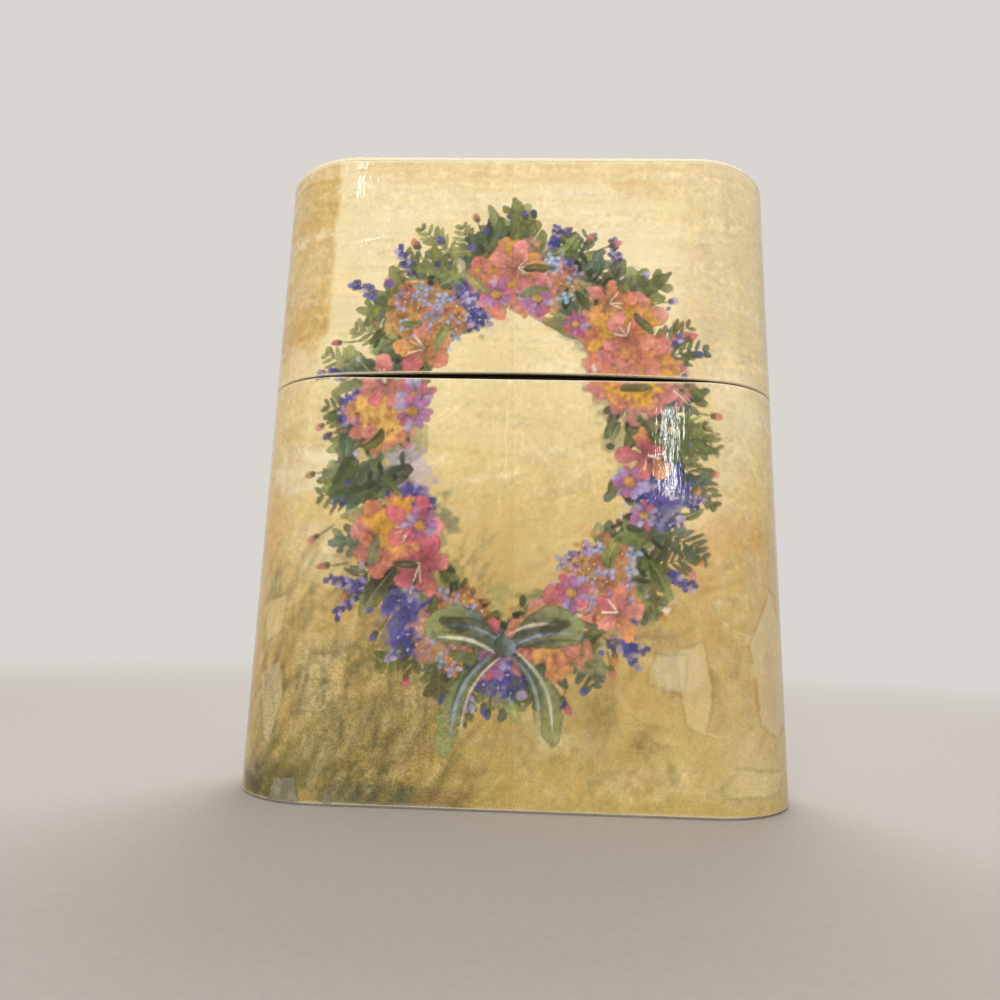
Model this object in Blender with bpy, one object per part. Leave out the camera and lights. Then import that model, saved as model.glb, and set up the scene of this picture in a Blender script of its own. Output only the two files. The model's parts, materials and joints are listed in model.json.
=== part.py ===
"""Metal trinket box: a tall flat tin with full round ends and a lid hinged at the back.

The box stands on its base with +Z up and its front towards -Y. Sheet metal pieces are
skins bent along a path and given their thickness by Solidify; the printed paper is
glued over the metal in separate sheets. All lengths are in metres.
"""

import math

import bmesh
import bpy
from mathutils import Matrix, Vector

# Outside of the closed box, paper included
BOX_WIDE = 0.0820
BOX_DEEP = 0.0290
BOX_HIGH = 0.0980
SEAM_HIGH = 0.0610

# Thicknesses and running gaps
SHEET_THICK = 0.0005
PAPER_THICK = 0.0003
FIT_GAP = 0.0003
PIN_GAP = 0.0001

# The lid's front rim bows up, so the seam opens as a lens
RIM_GAP = 0.0003
RIM_BOW = 0.0007
BOW_HALF_WIDE = 0.0290

# Foot hem, which holds the floor's flange in a channel
HEM_HIGH = 0.0020

# Floor panel, raised by a pressed step
FLOOR_FLANGE_HIGH = 0.0015
FLOOR_BORDER = 0.0042
FLOOR_STEP_WIDE = 0.0008
FLOOR_STEP_HIGH = 0.0006

# Lid top: the wall's edge is folded over the top panel's border
FOLD_WIDE = 0.0019
TOP_FLANGE_HIGH = 0.0030
TOP_STEP_WIDE = 0.0004

# Collar inside the body, drawn in at the front by the swing of the lid
COLLAR_BELOW = 0.0090
COLLAR_ABOVE = 0.0080
COLLAR_SPLIT = 0.0060
SWING_GAP = 0.0001

# Hinge: eyes rolled from both walls on a wire pin
PIN_RADIUS = 0.0006
PIN_OVERHANG = 0.0004
PIN_END_BEVEL = 0.00015
HINGE_MARGIN = 0.0065
EYE_CURL = math.radians(285.0)
EYES_EACH_SIDE = 2

# Lock seams of the two walls, pressed flat inside the back
LOCK_WIDE = 0.0032
LOCK_DEEP = 0.0006
LOCK_BEVEL = 0.0002
LOCK_MARGIN = 0.0005

# Paper sheets
PAPER_JOIN_X = -0.0010
PAPER_FOOT = 0.0003
TOP_PAPER_BEVEL = 0.0001

# Smoothness of the outline and of the rolled eyes
END_STEPS = 28
FRONT_STEPS = 10
CURL_STEPS = 16
PIN_SIDES = 24
SHARP_ANGLE = math.radians(35.0)

# Places worked out from the sizes above
END_RADIUS = BOX_DEEP / 2
HALF_STRAIGHT = BOX_WIDE / 2 - END_RADIUS
WALL_INSET = PAPER_THICK + FIT_GAP
EYE_BORE = PIN_RADIUS + PIN_GAP
EYE_RADIUS = EYE_BORE + SHEET_THICK
AXIS_INSET = WALL_INSET - EYE_BORE
AXIS_Y = END_RADIUS - AXIS_INSET
NOTCH_HIGH = EYE_RADIUS + FIT_GAP
BODY_RIM = SEAM_HIGH - RIM_GAP / 2
LID_RIM = SEAM_HIGH + RIM_GAP / 2
INNER_INSET = WALL_INSET + SHEET_THICK
CHANNEL_INSET = INNER_INSET + FIT_GAP
HEM_INSET = CHANNEL_INSET + SHEET_THICK + FIT_GAP + SHEET_THICK
FLOOR_TOP = HEM_HIGH + FIT_GAP + SHEET_THICK
BARREL_HALF = HALF_STRAIGHT - HINGE_MARGIN
EYE_PITCH = BARREL_HALF / (EYES_EACH_SIDE + 1 / 2)
PIN_HALF = BARREL_HALF + PIN_OVERHANG
NOTCH_HALF = PIN_HALF + FIT_GAP
WALL_TOP = BOX_HIGH - PAPER_THICK - FIT_GAP
TOP_BORDER = WALL_TOP - SHEET_THICK - FIT_GAP
FOLD_INSET = WALL_INSET + FOLD_WIDE
BACK_OVERHANG = AXIS_Y + EYE_RADIUS - END_RADIUS
FRAME_Y = -BACK_OVERHANG / 2

CREAM = (0.80, 0.66, 0.38, 1.0)
TIN_GREY = (0.62, 0.61, 0.58, 1.0)
WIRE_GREY = (0.45, 0.45, 0.46, 1.0)
BLACK_BROWN = (0.035, 0.030, 0.026, 1.0)


class Station:
    """A point of the plan outline, with its outward normal."""

    def __init__(self, x, y, normal_x, normal_y):
        self.x = x
        self.y = y
        self.normal = Vector((normal_x, normal_y, 0.0))

    @property
    def at_back(self):
        return self.normal.y > 1 - 1e-6

    @property
    def frontness(self):
        return max(0.0, -self.normal.y)

    def point(self, inset, height):
        return Vector((self.x, self.y, height)) - self.normal * inset


def clear_scene():
    for obj in list(bpy.data.objects):
        bpy.data.objects.remove(obj, do_unlink=True)


def material(name, color, roughness, metallic):
    made = bpy.data.materials.new(name)
    made.use_nodes = True
    shader = made.node_tree.nodes["Principled BSDF"]
    shader.inputs["Base Color"].default_value = color
    shader.inputs["Roughness"].default_value = roughness
    shader.inputs["Metallic"].default_value = metallic
    return made


def empty(name, location):
    made = bpy.data.objects.new(name, None)
    made.location = location
    bpy.context.scene.collection.objects.link(made)
    return made


def finish_object(name, bm, finish, parent):
    """Links the mesh as an object whose origin is its parent's."""
    mesh = bpy.data.meshes.new(name)
    bm.to_mesh(mesh)
    bm.free()
    mesh.transform(Matrix.Translation(-parent.location))
    mesh.shade_smooth()
    mesh.set_sharp_from_angle(angle=SHARP_ANGLE)
    mesh.materials.append(finish)
    made = bpy.data.objects.new(name, mesh)
    made.parent = parent
    bpy.context.scene.collection.objects.link(made)
    return made


def steps_between(start, end, count):
    return [start + (end - start) * i / count for i in range(count + 1)]


def hinge_breaks():
    """Distances from the middle at which an eye of either wall starts or ends."""
    breaks = []
    for i in range(EYES_EACH_SIDE):
        edge = EYE_PITCH * (i + 1 / 2)
        breaks += [edge - FIT_GAP / 2, edge + FIT_GAP / 2]
    return breaks + [BARREL_HALF, NOTCH_HALF]


def half_outline(side, front_x, back_x):
    """Stations from the front straight round one end to the back straight, seen in plan."""
    stations = []
    for x in steps_between(front_x, side * HALF_STRAIGHT, FRONT_STEPS):
        stations.append(Station(x, -END_RADIUS, 0.0, -1.0))
    for i in range(1, END_STEPS):
        angle = math.pi * (i / END_STEPS - 1 / 2)
        across = side * math.cos(angle)
        along = math.sin(angle)
        x = side * HALF_STRAIGHT + END_RADIUS * across
        stations.append(Station(x, END_RADIUS * along, across, along))
    back = [HALF_STRAIGHT] + [x for x in reversed(hinge_breaks()) if x > abs(back_x)]
    for x in back:
        stations.append(Station(side * x, END_RADIUS, 0.0, 1.0))
    stations.append(Station(back_x, END_RADIUS, 0.0, 1.0))
    return stations


def full_outline():
    right = half_outline(1, 0.0, 0.0)
    left = half_outline(-1, 0.0, 0.0)
    return right + left[-2:0:-1]


def bent_skin(stations, path, keep, closed):
    """A grid of faces: one column between stations, one row between the path's bends."""
    bm = bmesh.new()
    grid = [[bm.verts.new(station.point(*bend)) for bend in path(station)] for station in stations]
    columns = len(grid) if closed else len(grid) - 1
    for i in range(columns):
        here = grid[i]
        there = grid[(i + 1) % len(grid)]
        first = stations[i]
        second = stations[(i + 1) % len(stations)]
        at_back = first.at_back and second.at_back
        middle = abs(first.x + second.x) / 2 if at_back else math.inf
        for row in range(len(here) - 1):
            if keep(row, middle):
                bm.faces.new((here[row], there[row], there[row + 1], here[row + 1]))
    loose = [v for v in bm.verts if not v.link_faces]
    bmesh.ops.delete(bm, geom=loose, context="VERTS")
    return bm, grid


def add_thickness(obj, thick):
    """Thickens the skin away from the side that its faces look to."""
    solidify = obj.modifiers.new("thickness", "SOLIDIFY")
    solidify.thickness = thick
    solidify.offset = -1.0
    solidify.use_even_offset = True
    solidify.use_quality_normals = True


def everywhere(row, middle):
    return True


def eye_at(middle):
    """Number of the eye, from the middle one outwards, that spans this distance from the middle."""
    return int(middle / EYE_PITCH + 1 / 2)


def in_eye(middle):
    """False in the narrow gap between two eyes."""
    offset = abs(middle - eye_at(middle) * EYE_PITCH)
    return offset < (EYE_PITCH - FIT_GAP) / 2


def is_body_eye(middle):
    return middle < BARREL_HALF and eye_at(middle) % 2 == 0 and in_eye(middle)


def is_lid_eye(middle):
    return middle < BARREL_HALF and eye_at(middle) % 2 == 1 and in_eye(middle)


def curl(up):
    """Bends that roll a wall's edge round the pin, starting level with the pin."""
    bends = []
    for i in range(CURL_STEPS + 1):
        angle = EYE_CURL * i / CURL_STEPS
        inset = AXIS_INSET + EYE_BORE * math.cos(angle)
        bends.append((inset, SEAM_HIGH + up * EYE_BORE * math.sin(angle)))
    return bends


def rim_bow(station):
    """How far the lid's rim is raised here."""
    share = max(0.0, 1 - (station.x / BOW_HALF_WIDE) ** 2)
    return RIM_BOW * share * station.frontness


def lock_seam(name, low, high, parent):
    """The flattened lock seam that joins a wall's ends inside the middle of the back."""
    outer = WALL_INSET + SHEET_THICK / 2
    inner = INNER_INSET + LOCK_DEEP
    bm = bmesh.new()
    bmesh.ops.create_cube(bm, size=1.0)
    bmesh.ops.scale(bm, vec=(LOCK_WIDE, inner - outer, high - low), verts=bm.verts)
    middle = Vector((0.0, END_RADIUS - (inner + outer) / 2, (low + high) / 2))
    bmesh.ops.translate(bm, vec=middle, verts=bm.verts)
    edges = [e for e in bm.edges if all(v.co.y < middle.y for v in e.verts)]
    bmesh.ops.bevel(bm, geom=edges, offset=LOCK_BEVEL, segments=1, affect="EDGES")
    made = finish_object(name, bm, None, parent)
    made.hide_render = True
    made.display_type = "WIRE"
    return made


def add_lock_seam(obj, low, high, parent):
    union = obj.modifiers.new("lock_seam", "BOOLEAN")
    union.operation = "UNION"
    union.object = lock_seam(obj.name + "_lock_seam", low, high, parent)


def make_body_wall(finish, parent):
    """Wall with the foot hem at its bottom and three hinge eyes at its rim."""

    def path(station):
        hem = [(HEM_INSET, HEM_HIGH), (HEM_INSET, 0.0), (WALL_INSET, 0.0)]
        wall = [(WALL_INSET, SEAM_HIGH - NOTCH_HIGH), (WALL_INSET, BODY_RIM)]
        return hem + wall + curl(1)

    rim_row = 3

    def keep(row, middle):
        if row < rim_row:
            return True
        if row > rim_row:
            return is_body_eye(middle)
        return is_body_eye(middle) or middle > NOTCH_HALF

    bm, _ = bent_skin(full_outline(), path, keep, True)
    made = finish_object("body_wall", bm, finish, parent)
    add_thickness(made, SHEET_THICK)
    low = FLOOR_TOP + LOCK_MARGIN
    high = SEAM_HIGH - NOTCH_HIGH - LOCK_MARGIN
    add_lock_seam(made, low, high, parent)
    return made


def make_body_floor(finish, parent):
    """Floor panel: a flange down in the hem's channel, and a middle raised by a pressed step."""
    step_inset = CHANNEL_INSET + FLOOR_BORDER

    def path(station):
        return [
            (CHANNEL_INSET, FLOOR_TOP - SHEET_THICK - FLOOR_FLANGE_HIGH),
            (CHANNEL_INSET, FLOOR_TOP),
            (step_inset, FLOOR_TOP),
            (step_inset + FLOOR_STEP_WIDE, FLOOR_TOP + FLOOR_STEP_HIGH),
        ]

    bm, grid = bent_skin(full_outline(), path, everywhere, True)
    bm.faces.new([column[-1] for column in grid])
    made = finish_object("body_floor", bm, finish, parent)
    add_thickness(made, SHEET_THICK)
    return made


def make_collar(finish, parent):
    """Collar that guides the lid, split in the middle of the back."""
    right = half_outline(1, 0.0, COLLAR_SPLIT / 2)
    left = half_outline(-1, 0.0, -COLLAR_SPLIT / 2)
    stations = left[::-1] + right[1:]

    def path(station):
        from_pin = AXIS_Y - station.point(CHANNEL_INSET, 0.0).y
        drawn_in = 0.0
        if station.frontness > 0:
            drawn_in = from_pin - math.sqrt(from_pin**2 - COLLAR_ABOVE**2) + SWING_GAP
        top_inset = CHANNEL_INSET + drawn_in * station.frontness
        return [
            (CHANNEL_INSET, SEAM_HIGH - COLLAR_BELOW),
            (CHANNEL_INSET, SEAM_HIGH),
            (top_inset, SEAM_HIGH + COLLAR_ABOVE),
        ]

    bm, _ = bent_skin(stations, path, everywhere, False)
    made = finish_object("inner_collar", bm, finish, parent)
    add_thickness(made, SHEET_THICK)
    return made


def make_pin(finish, parent):
    bm = bmesh.new()
    bmesh.ops.create_cone(
        bm,
        cap_ends=True,
        segments=PIN_SIDES,
        radius1=PIN_RADIUS,
        radius2=PIN_RADIUS,
        depth=2 * PIN_HALF,
        matrix=Matrix.Rotation(math.pi / 2, 4, "Y"),
    )
    ends = [e for e in bm.edges if e.verts[0].co.x * e.verts[1].co.x > 0]
    bmesh.ops.bevel(bm, geom=ends, offset=PIN_END_BEVEL, segments=2, profile=0.5, affect="EDGES")
    bmesh.ops.translate(bm, vec=(0.0, AXIS_Y, SEAM_HIGH), verts=bm.verts)
    return finish_object("hinge_pin", bm, finish, parent)


def make_paper(name, side, path, notch_row, finish, parent):
    """One glued sheet, from the join at the front round one end to the join at the back."""
    front_x = PAPER_JOIN_X + side * FIT_GAP / 2
    stations = half_outline(side, front_x, side * FIT_GAP / 2)
    if side < 0:
        stations.reverse()

    def keep(row, middle):
        return row != notch_row or middle > NOTCH_HALF

    bm, _ = bent_skin(stations, path, keep, False)
    made = finish_object(name, bm, finish, parent)
    add_thickness(made, PAPER_THICK)
    return made


def make_body_papers(finish, parent):
    def path(station):
        return [(0.0, PAPER_FOOT), (0.0, SEAM_HIGH - NOTCH_HIGH), (0.0, BODY_RIM)]

    for name, side in (("body_paper_left", -1), ("body_paper_right", 1)):
        make_paper(name, side, path, 1, finish, parent)


def make_lid_wall(finish, parent):
    """Lid wall with two hinge eyes, a bowed front rim and its top edge folded inwards."""

    def path(station):
        fold = [(FOLD_INSET, WALL_TOP), (WALL_INSET, WALL_TOP)]
        rim = [(WALL_INSET, SEAM_HIGH + NOTCH_HIGH), (WALL_INSET, LID_RIM + rim_bow(station))]
        return fold + rim + curl(-1)

    rim_row = 2

    def keep(row, middle):
        if row < rim_row:
            return True
        if row > rim_row:
            return is_lid_eye(middle)
        return is_lid_eye(middle) or middle > NOTCH_HALF

    bm, _ = bent_skin(full_outline()[::-1], path, keep, True)
    made = finish_object("lid_wall", bm, finish, parent)
    add_thickness(made, SHEET_THICK)
    low = SEAM_HIGH + NOTCH_HIGH + LOCK_MARGIN
    high = TOP_BORDER - TOP_FLANGE_HIGH - LOCK_MARGIN
    add_lock_seam(made, low, high, parent)
    return made


def make_lid_top(finish, parent):
    """Top panel: its border lies under the wall's fold and its middle is raised level with it."""
    step_inset = FOLD_INSET + FIT_GAP

    def path(station):
        return [
            (CHANNEL_INSET, TOP_BORDER - TOP_FLANGE_HIGH),
            (CHANNEL_INSET, TOP_BORDER),
            (step_inset, TOP_BORDER),
            (step_inset + TOP_STEP_WIDE, WALL_TOP),
        ]

    bm, grid = bent_skin(full_outline(), path, everywhere, True)
    bm.faces.new([column[-1] for column in grid])
    made = finish_object("lid_top", bm, finish, parent)
    add_thickness(made, SHEET_THICK)
    return made


def make_lid_papers(finish, parent):
    def path(station):
        return [
            (0.0, LID_RIM + rim_bow(station)),
            (0.0, SEAM_HIGH + NOTCH_HIGH),
            (0.0, WALL_TOP),
        ]

    for name, side in (("lid_paper_left", -1), ("lid_paper_right", 1)):
        make_paper(name, side, path, 0, finish, parent)


def make_top_paper(finish, parent):
    bm = bmesh.new()
    bm.faces.new([bm.verts.new(station.point(0.0, BOX_HIGH)) for station in full_outline()])
    made = finish_object("lid_top_paper", bm, finish, parent)
    add_thickness(made, PAPER_THICK)
    bevel = made.modifiers.new("soft_edge", "BEVEL")
    bevel.width = TOP_PAPER_BEVEL
    bevel.segments = 1
    bevel.limit_method = "ANGLE"
    return made


def main():
    clear_scene()
    paper = material("printed_paper", CREAM, 0.35, 0.0)
    tinplate = material("tinplate", TIN_GREY, 0.38, 1.0)
    wire = material("steel_wire", WIRE_GREY, 0.3, 1.0)
    lacquer = material("dark_lacquer", BLACK_BROWN, 0.35, 0.0)

    body = empty("box_frame", (0.0, 0.0, 0.0))
    make_body_wall(tinplate, body)
    make_body_floor(tinplate, body)
    make_collar(lacquer, body)
    make_pin(wire, body)
    make_body_papers(paper, body)

    lid = empty("lid_pivot", (0.0, AXIS_Y, SEAM_HIGH))
    make_lid_wall(tinplate, lid)
    make_lid_top(tinplate, lid)
    make_lid_papers(paper, lid)
    make_top_paper(paper, lid)

    lid.parent = body
    body.location.y = FRAME_Y


main()
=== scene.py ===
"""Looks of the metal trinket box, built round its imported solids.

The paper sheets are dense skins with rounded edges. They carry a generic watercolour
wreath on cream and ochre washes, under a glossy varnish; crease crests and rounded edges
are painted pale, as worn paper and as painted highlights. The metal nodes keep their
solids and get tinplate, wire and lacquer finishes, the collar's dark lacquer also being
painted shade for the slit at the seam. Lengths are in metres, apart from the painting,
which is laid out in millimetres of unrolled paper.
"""

import json
import logging
import math
from collections.abc import Callable, Iterator, Mapping, Sequence
from dataclasses import dataclass, field
from enum import Enum

import bmesh
import bpy
import numpy as np
from mathutils import Matrix, Vector


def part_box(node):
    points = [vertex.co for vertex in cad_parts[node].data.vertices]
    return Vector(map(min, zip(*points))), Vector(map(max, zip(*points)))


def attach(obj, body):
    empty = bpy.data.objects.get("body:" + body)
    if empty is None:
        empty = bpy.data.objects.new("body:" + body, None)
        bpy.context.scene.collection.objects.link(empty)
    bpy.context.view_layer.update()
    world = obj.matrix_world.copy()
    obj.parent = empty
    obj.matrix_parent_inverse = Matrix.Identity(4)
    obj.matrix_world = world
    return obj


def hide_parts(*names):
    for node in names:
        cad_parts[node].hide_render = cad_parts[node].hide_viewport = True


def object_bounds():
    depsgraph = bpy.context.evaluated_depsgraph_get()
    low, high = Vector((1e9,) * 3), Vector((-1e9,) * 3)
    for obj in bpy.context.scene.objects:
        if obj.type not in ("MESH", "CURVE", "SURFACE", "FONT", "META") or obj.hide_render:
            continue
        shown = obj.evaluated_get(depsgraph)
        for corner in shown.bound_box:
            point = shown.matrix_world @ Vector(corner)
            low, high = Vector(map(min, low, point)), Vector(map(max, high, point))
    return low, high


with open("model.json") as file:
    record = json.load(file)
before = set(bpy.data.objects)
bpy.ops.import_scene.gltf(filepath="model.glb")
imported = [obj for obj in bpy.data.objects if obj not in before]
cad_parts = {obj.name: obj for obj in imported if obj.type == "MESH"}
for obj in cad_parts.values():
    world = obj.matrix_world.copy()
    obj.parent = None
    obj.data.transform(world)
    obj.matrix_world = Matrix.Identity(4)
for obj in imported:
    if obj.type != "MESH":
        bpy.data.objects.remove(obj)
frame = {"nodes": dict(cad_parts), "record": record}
CAD_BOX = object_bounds()

logging.basicConfig(level=logging.INFO, format="%(message)s")
LOG = logging.getLogger("trinket_box")

# Short names of types

Array = np.ndarray
Point = tuple[float, float]
Triple = tuple[float, float, float]
Piece = bpy.types.Object
Material = bpy.types.Material
Node = bpy.types.Node
Socket = bpy.types.NodeSocket

# Sizes in metres

MM = 0.001
PER_METRE = 1000.0
SEAM_HIGH = frame["record"]["behaviour"]["joints"][0]["pos_m"][2]
NOTCH_HALF = 20.7 * MM
NOTCH_HIGH = 1.5 * MM
BOW_HALF_WIDE = 29.0 * MM
BOW_HIGH = 0.7 * MM

# How much wider the sheets' cells are on the ends and on the back than in front

END_PITCH_SHARE = 1.45
BACK_PITCH_SHARE = 2.15

# The front join and the print's canvases, in millimetres

JOIN_NOMINAL = -1.0
JOIN_FOOT = 0.2
JOIN_SLANT = -2.2 / 98.0
PRINT_PITCH = 0.1
PRINT_HIGH = 98.6
SPARE = 1.0
TOP_SPARE = 0.5
SIDE_SEED = 11
TOP_SEED = 12


# Colours


def linear(code: str) -> Array:
    """Turns a screen colour such as "d9b46a" into linear light.

    Args:
        code: Six hexadecimal digits.

    Returns:
        Three linear values from 0 to 1.
    """
    screen = np.array([int(code[i : i + 2], 16) / 255 for i in (0, 2, 4)])
    low = screen / 12.92
    high = ((screen + 0.055) / 1.055) ** 2.4
    return np.where(screen <= 0.04045, low, high).astype(np.float32)


def rgba(code: str) -> tuple[float, float, float, float]:
    """Gives a screen colour as a socket's four linear values."""
    red, green, blue = (float(value) for value in linear(code))
    return red, green, blue, 1.0


class Paint(Enum):
    """Named paints of the wreath and its ground."""

    CREAM = "eedcab"
    PALE = "f2e7c9"
    VELLUM = "dccba2"
    BUTTER = "e6d198"
    STRAW = "dbc080"
    OCHRE = "cfac68"
    MUSTARD = "c3aa62"
    TAN = "ccb88e"
    AMBER = "d09c58"
    CORAL = "be745e"
    PINK = "c67f77"
    ROSE = "b65c68"
    ORANGE = "c0864f"
    SIENNA = "a4683e"
    GOLD = "c9983e"
    MAUVE = "a26a95"
    LILAC = "a799b8"
    VIOLET = "5a5293"
    BLUE = "3c427a"
    SKY = "9fb0cc"
    OLIVE = "697039"
    MOSS = "5b6038"
    DEEP = "40472f"
    NIGHT = "2c2f20"
    SAGE = "888d58"
    GREY_GREEN = "55634f"
    UMBER = "6a5938"

    @property
    def light(self) -> Array:
        """The paint in linear light."""
        return linear(self.value)


# Outline


@dataclass(frozen=True)
class Outline:
    """Plan outline of the closed box: two straights joined by half-round ends.

    A place on it is an arc, the distance along the paper from the middle of the front,
    positive to the right.
    """

    half_straight: float
    radius: float
    centre_y: float

    @classmethod
    def of_box(cls) -> "Outline":
        """Reads the outline off the two body sheets."""
        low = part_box("body_paper_left")[0]
        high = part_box("body_paper_right")[1]
        radius = (high.y - low.y) / 2
        return cls(high.x - radius, radius, (high.y + low.y) / 2)

    @property
    def half_round(self) -> float:
        """Length of one half-round end."""
        return math.pi * self.radius

    @property
    def reach(self) -> float:
        """Arc from the middle of the front to the middle of the back."""
        return 2 * self.half_straight + self.half_round

    def turn(self, arc: Array) -> Array:
        """Angle that the wall has turned through at these arcs, from 0 to half a turn."""
        past = (np.abs(arc) - self.half_straight) / self.radius
        return np.clip(past, 0.0, math.pi)

    def place(self, arc: Array, inset: Array) -> tuple[Array, Array]:
        """Plan position of points that lie some way inside the outline.

        Args:
            arc: Distances along the paper.
            inset: Distances inwards from its face.

        Returns:
            The x and the y of each point.
        """
        side = np.where(arc < 0, -1.0, 1.0)
        size = np.abs(arc)
        turn = self.turn(arc)
        past = np.maximum(size - self.half_straight - self.half_round, 0.0)
        straight = np.minimum(size, self.half_straight) - past
        radius = self.radius - inset
        x = side * (straight + radius * np.sin(turn))
        y = self.centre_y - radius * np.cos(turn)
        return x, y

    def unroll(self, x: Array, y: Array, side: int) -> Array:
        """Arcs of points on the outline, on the sheet of one side.

        Args:
            x: Plan x of each point.
            y: Plan y of each point.
            side: 1 for the right sheet, -1 for the left one.

        Returns:
            The arc of each point.
        """
        past = side * x - self.half_straight
        turn = np.arctan2(np.maximum(past, 0.0), self.centre_y - y)
        round_arc = side * (self.half_straight + self.radius * turn)
        back_arc = side * (self.half_straight + self.half_round - past)
        on_back = (past <= 0) & (y > self.centre_y)
        on_front = (past <= 0) & (y <= self.centre_y)
        return np.where(on_back, back_arc, np.where(on_front, x, round_arc))


# Painting


class Mark(Enum):
    """What the painting holds besides colour."""

    WEAR = "wear"
    GRAIN = "grain"
    RELIEF = "relief"


def smooth(value: Array) -> Array:
    """Eases values from 0 to 1."""
    held = np.clip(value, 0.0, 1.0)
    return held * held * (3 - 2 * held)


def polar(middle: Point, angle: float, reach: float) -> Point:
    """The point that lies a reach away from a middle, at an angle."""
    return middle[0] + reach * math.cos(angle), middle[1] + reach * math.sin(angle)


@dataclass(frozen=True)
class Wash:
    """One wash of the ground: an oval, or a squarer patch where corner is above 2."""

    across: float
    up: float
    half_wide: float
    half_high: float
    paint: Paint
    strength: float = 0.6
    softness: float = 0.6
    rim: float = 0.0
    turn: float = 0.0
    ragged: float = 0.5
    corner: float = 2.0


@dataclass(frozen=True)
class Flake:
    """A thin patch with straight torn sides, given by its corners."""

    corners: tuple[Point, ...]
    paint: Paint
    strength: float
    edge: float = 0.45
    ragged: float = 1.1
    rim: float = 0.12
    thinning: float = 2.2
    rim_wide: float = 0.24


@dataclass(frozen=True)
class Brushwork:
    """A field of like brush marks laid over the washes."""

    left: float
    right: float
    low: float
    high: float
    angle: float
    fan: float
    length: float
    width: float
    count: int
    paints: tuple[Paint, ...]
    opacity: float = 0.2


@dataclass(frozen=True)
class Dab:
    """One brush mark, from its root outwards, that may turn to a second paint at its tip."""

    root: Point
    angle: float
    length: float
    width: float
    paint: Array
    tip: Array | None = None
    widest: float = 0.5
    tone: float = 0.2
    opacity: float = 0.88
    edge: float = 0.25
    soft: float = 0.10
    bend: float = 0.0
    wobble: float = 0.5


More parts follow.
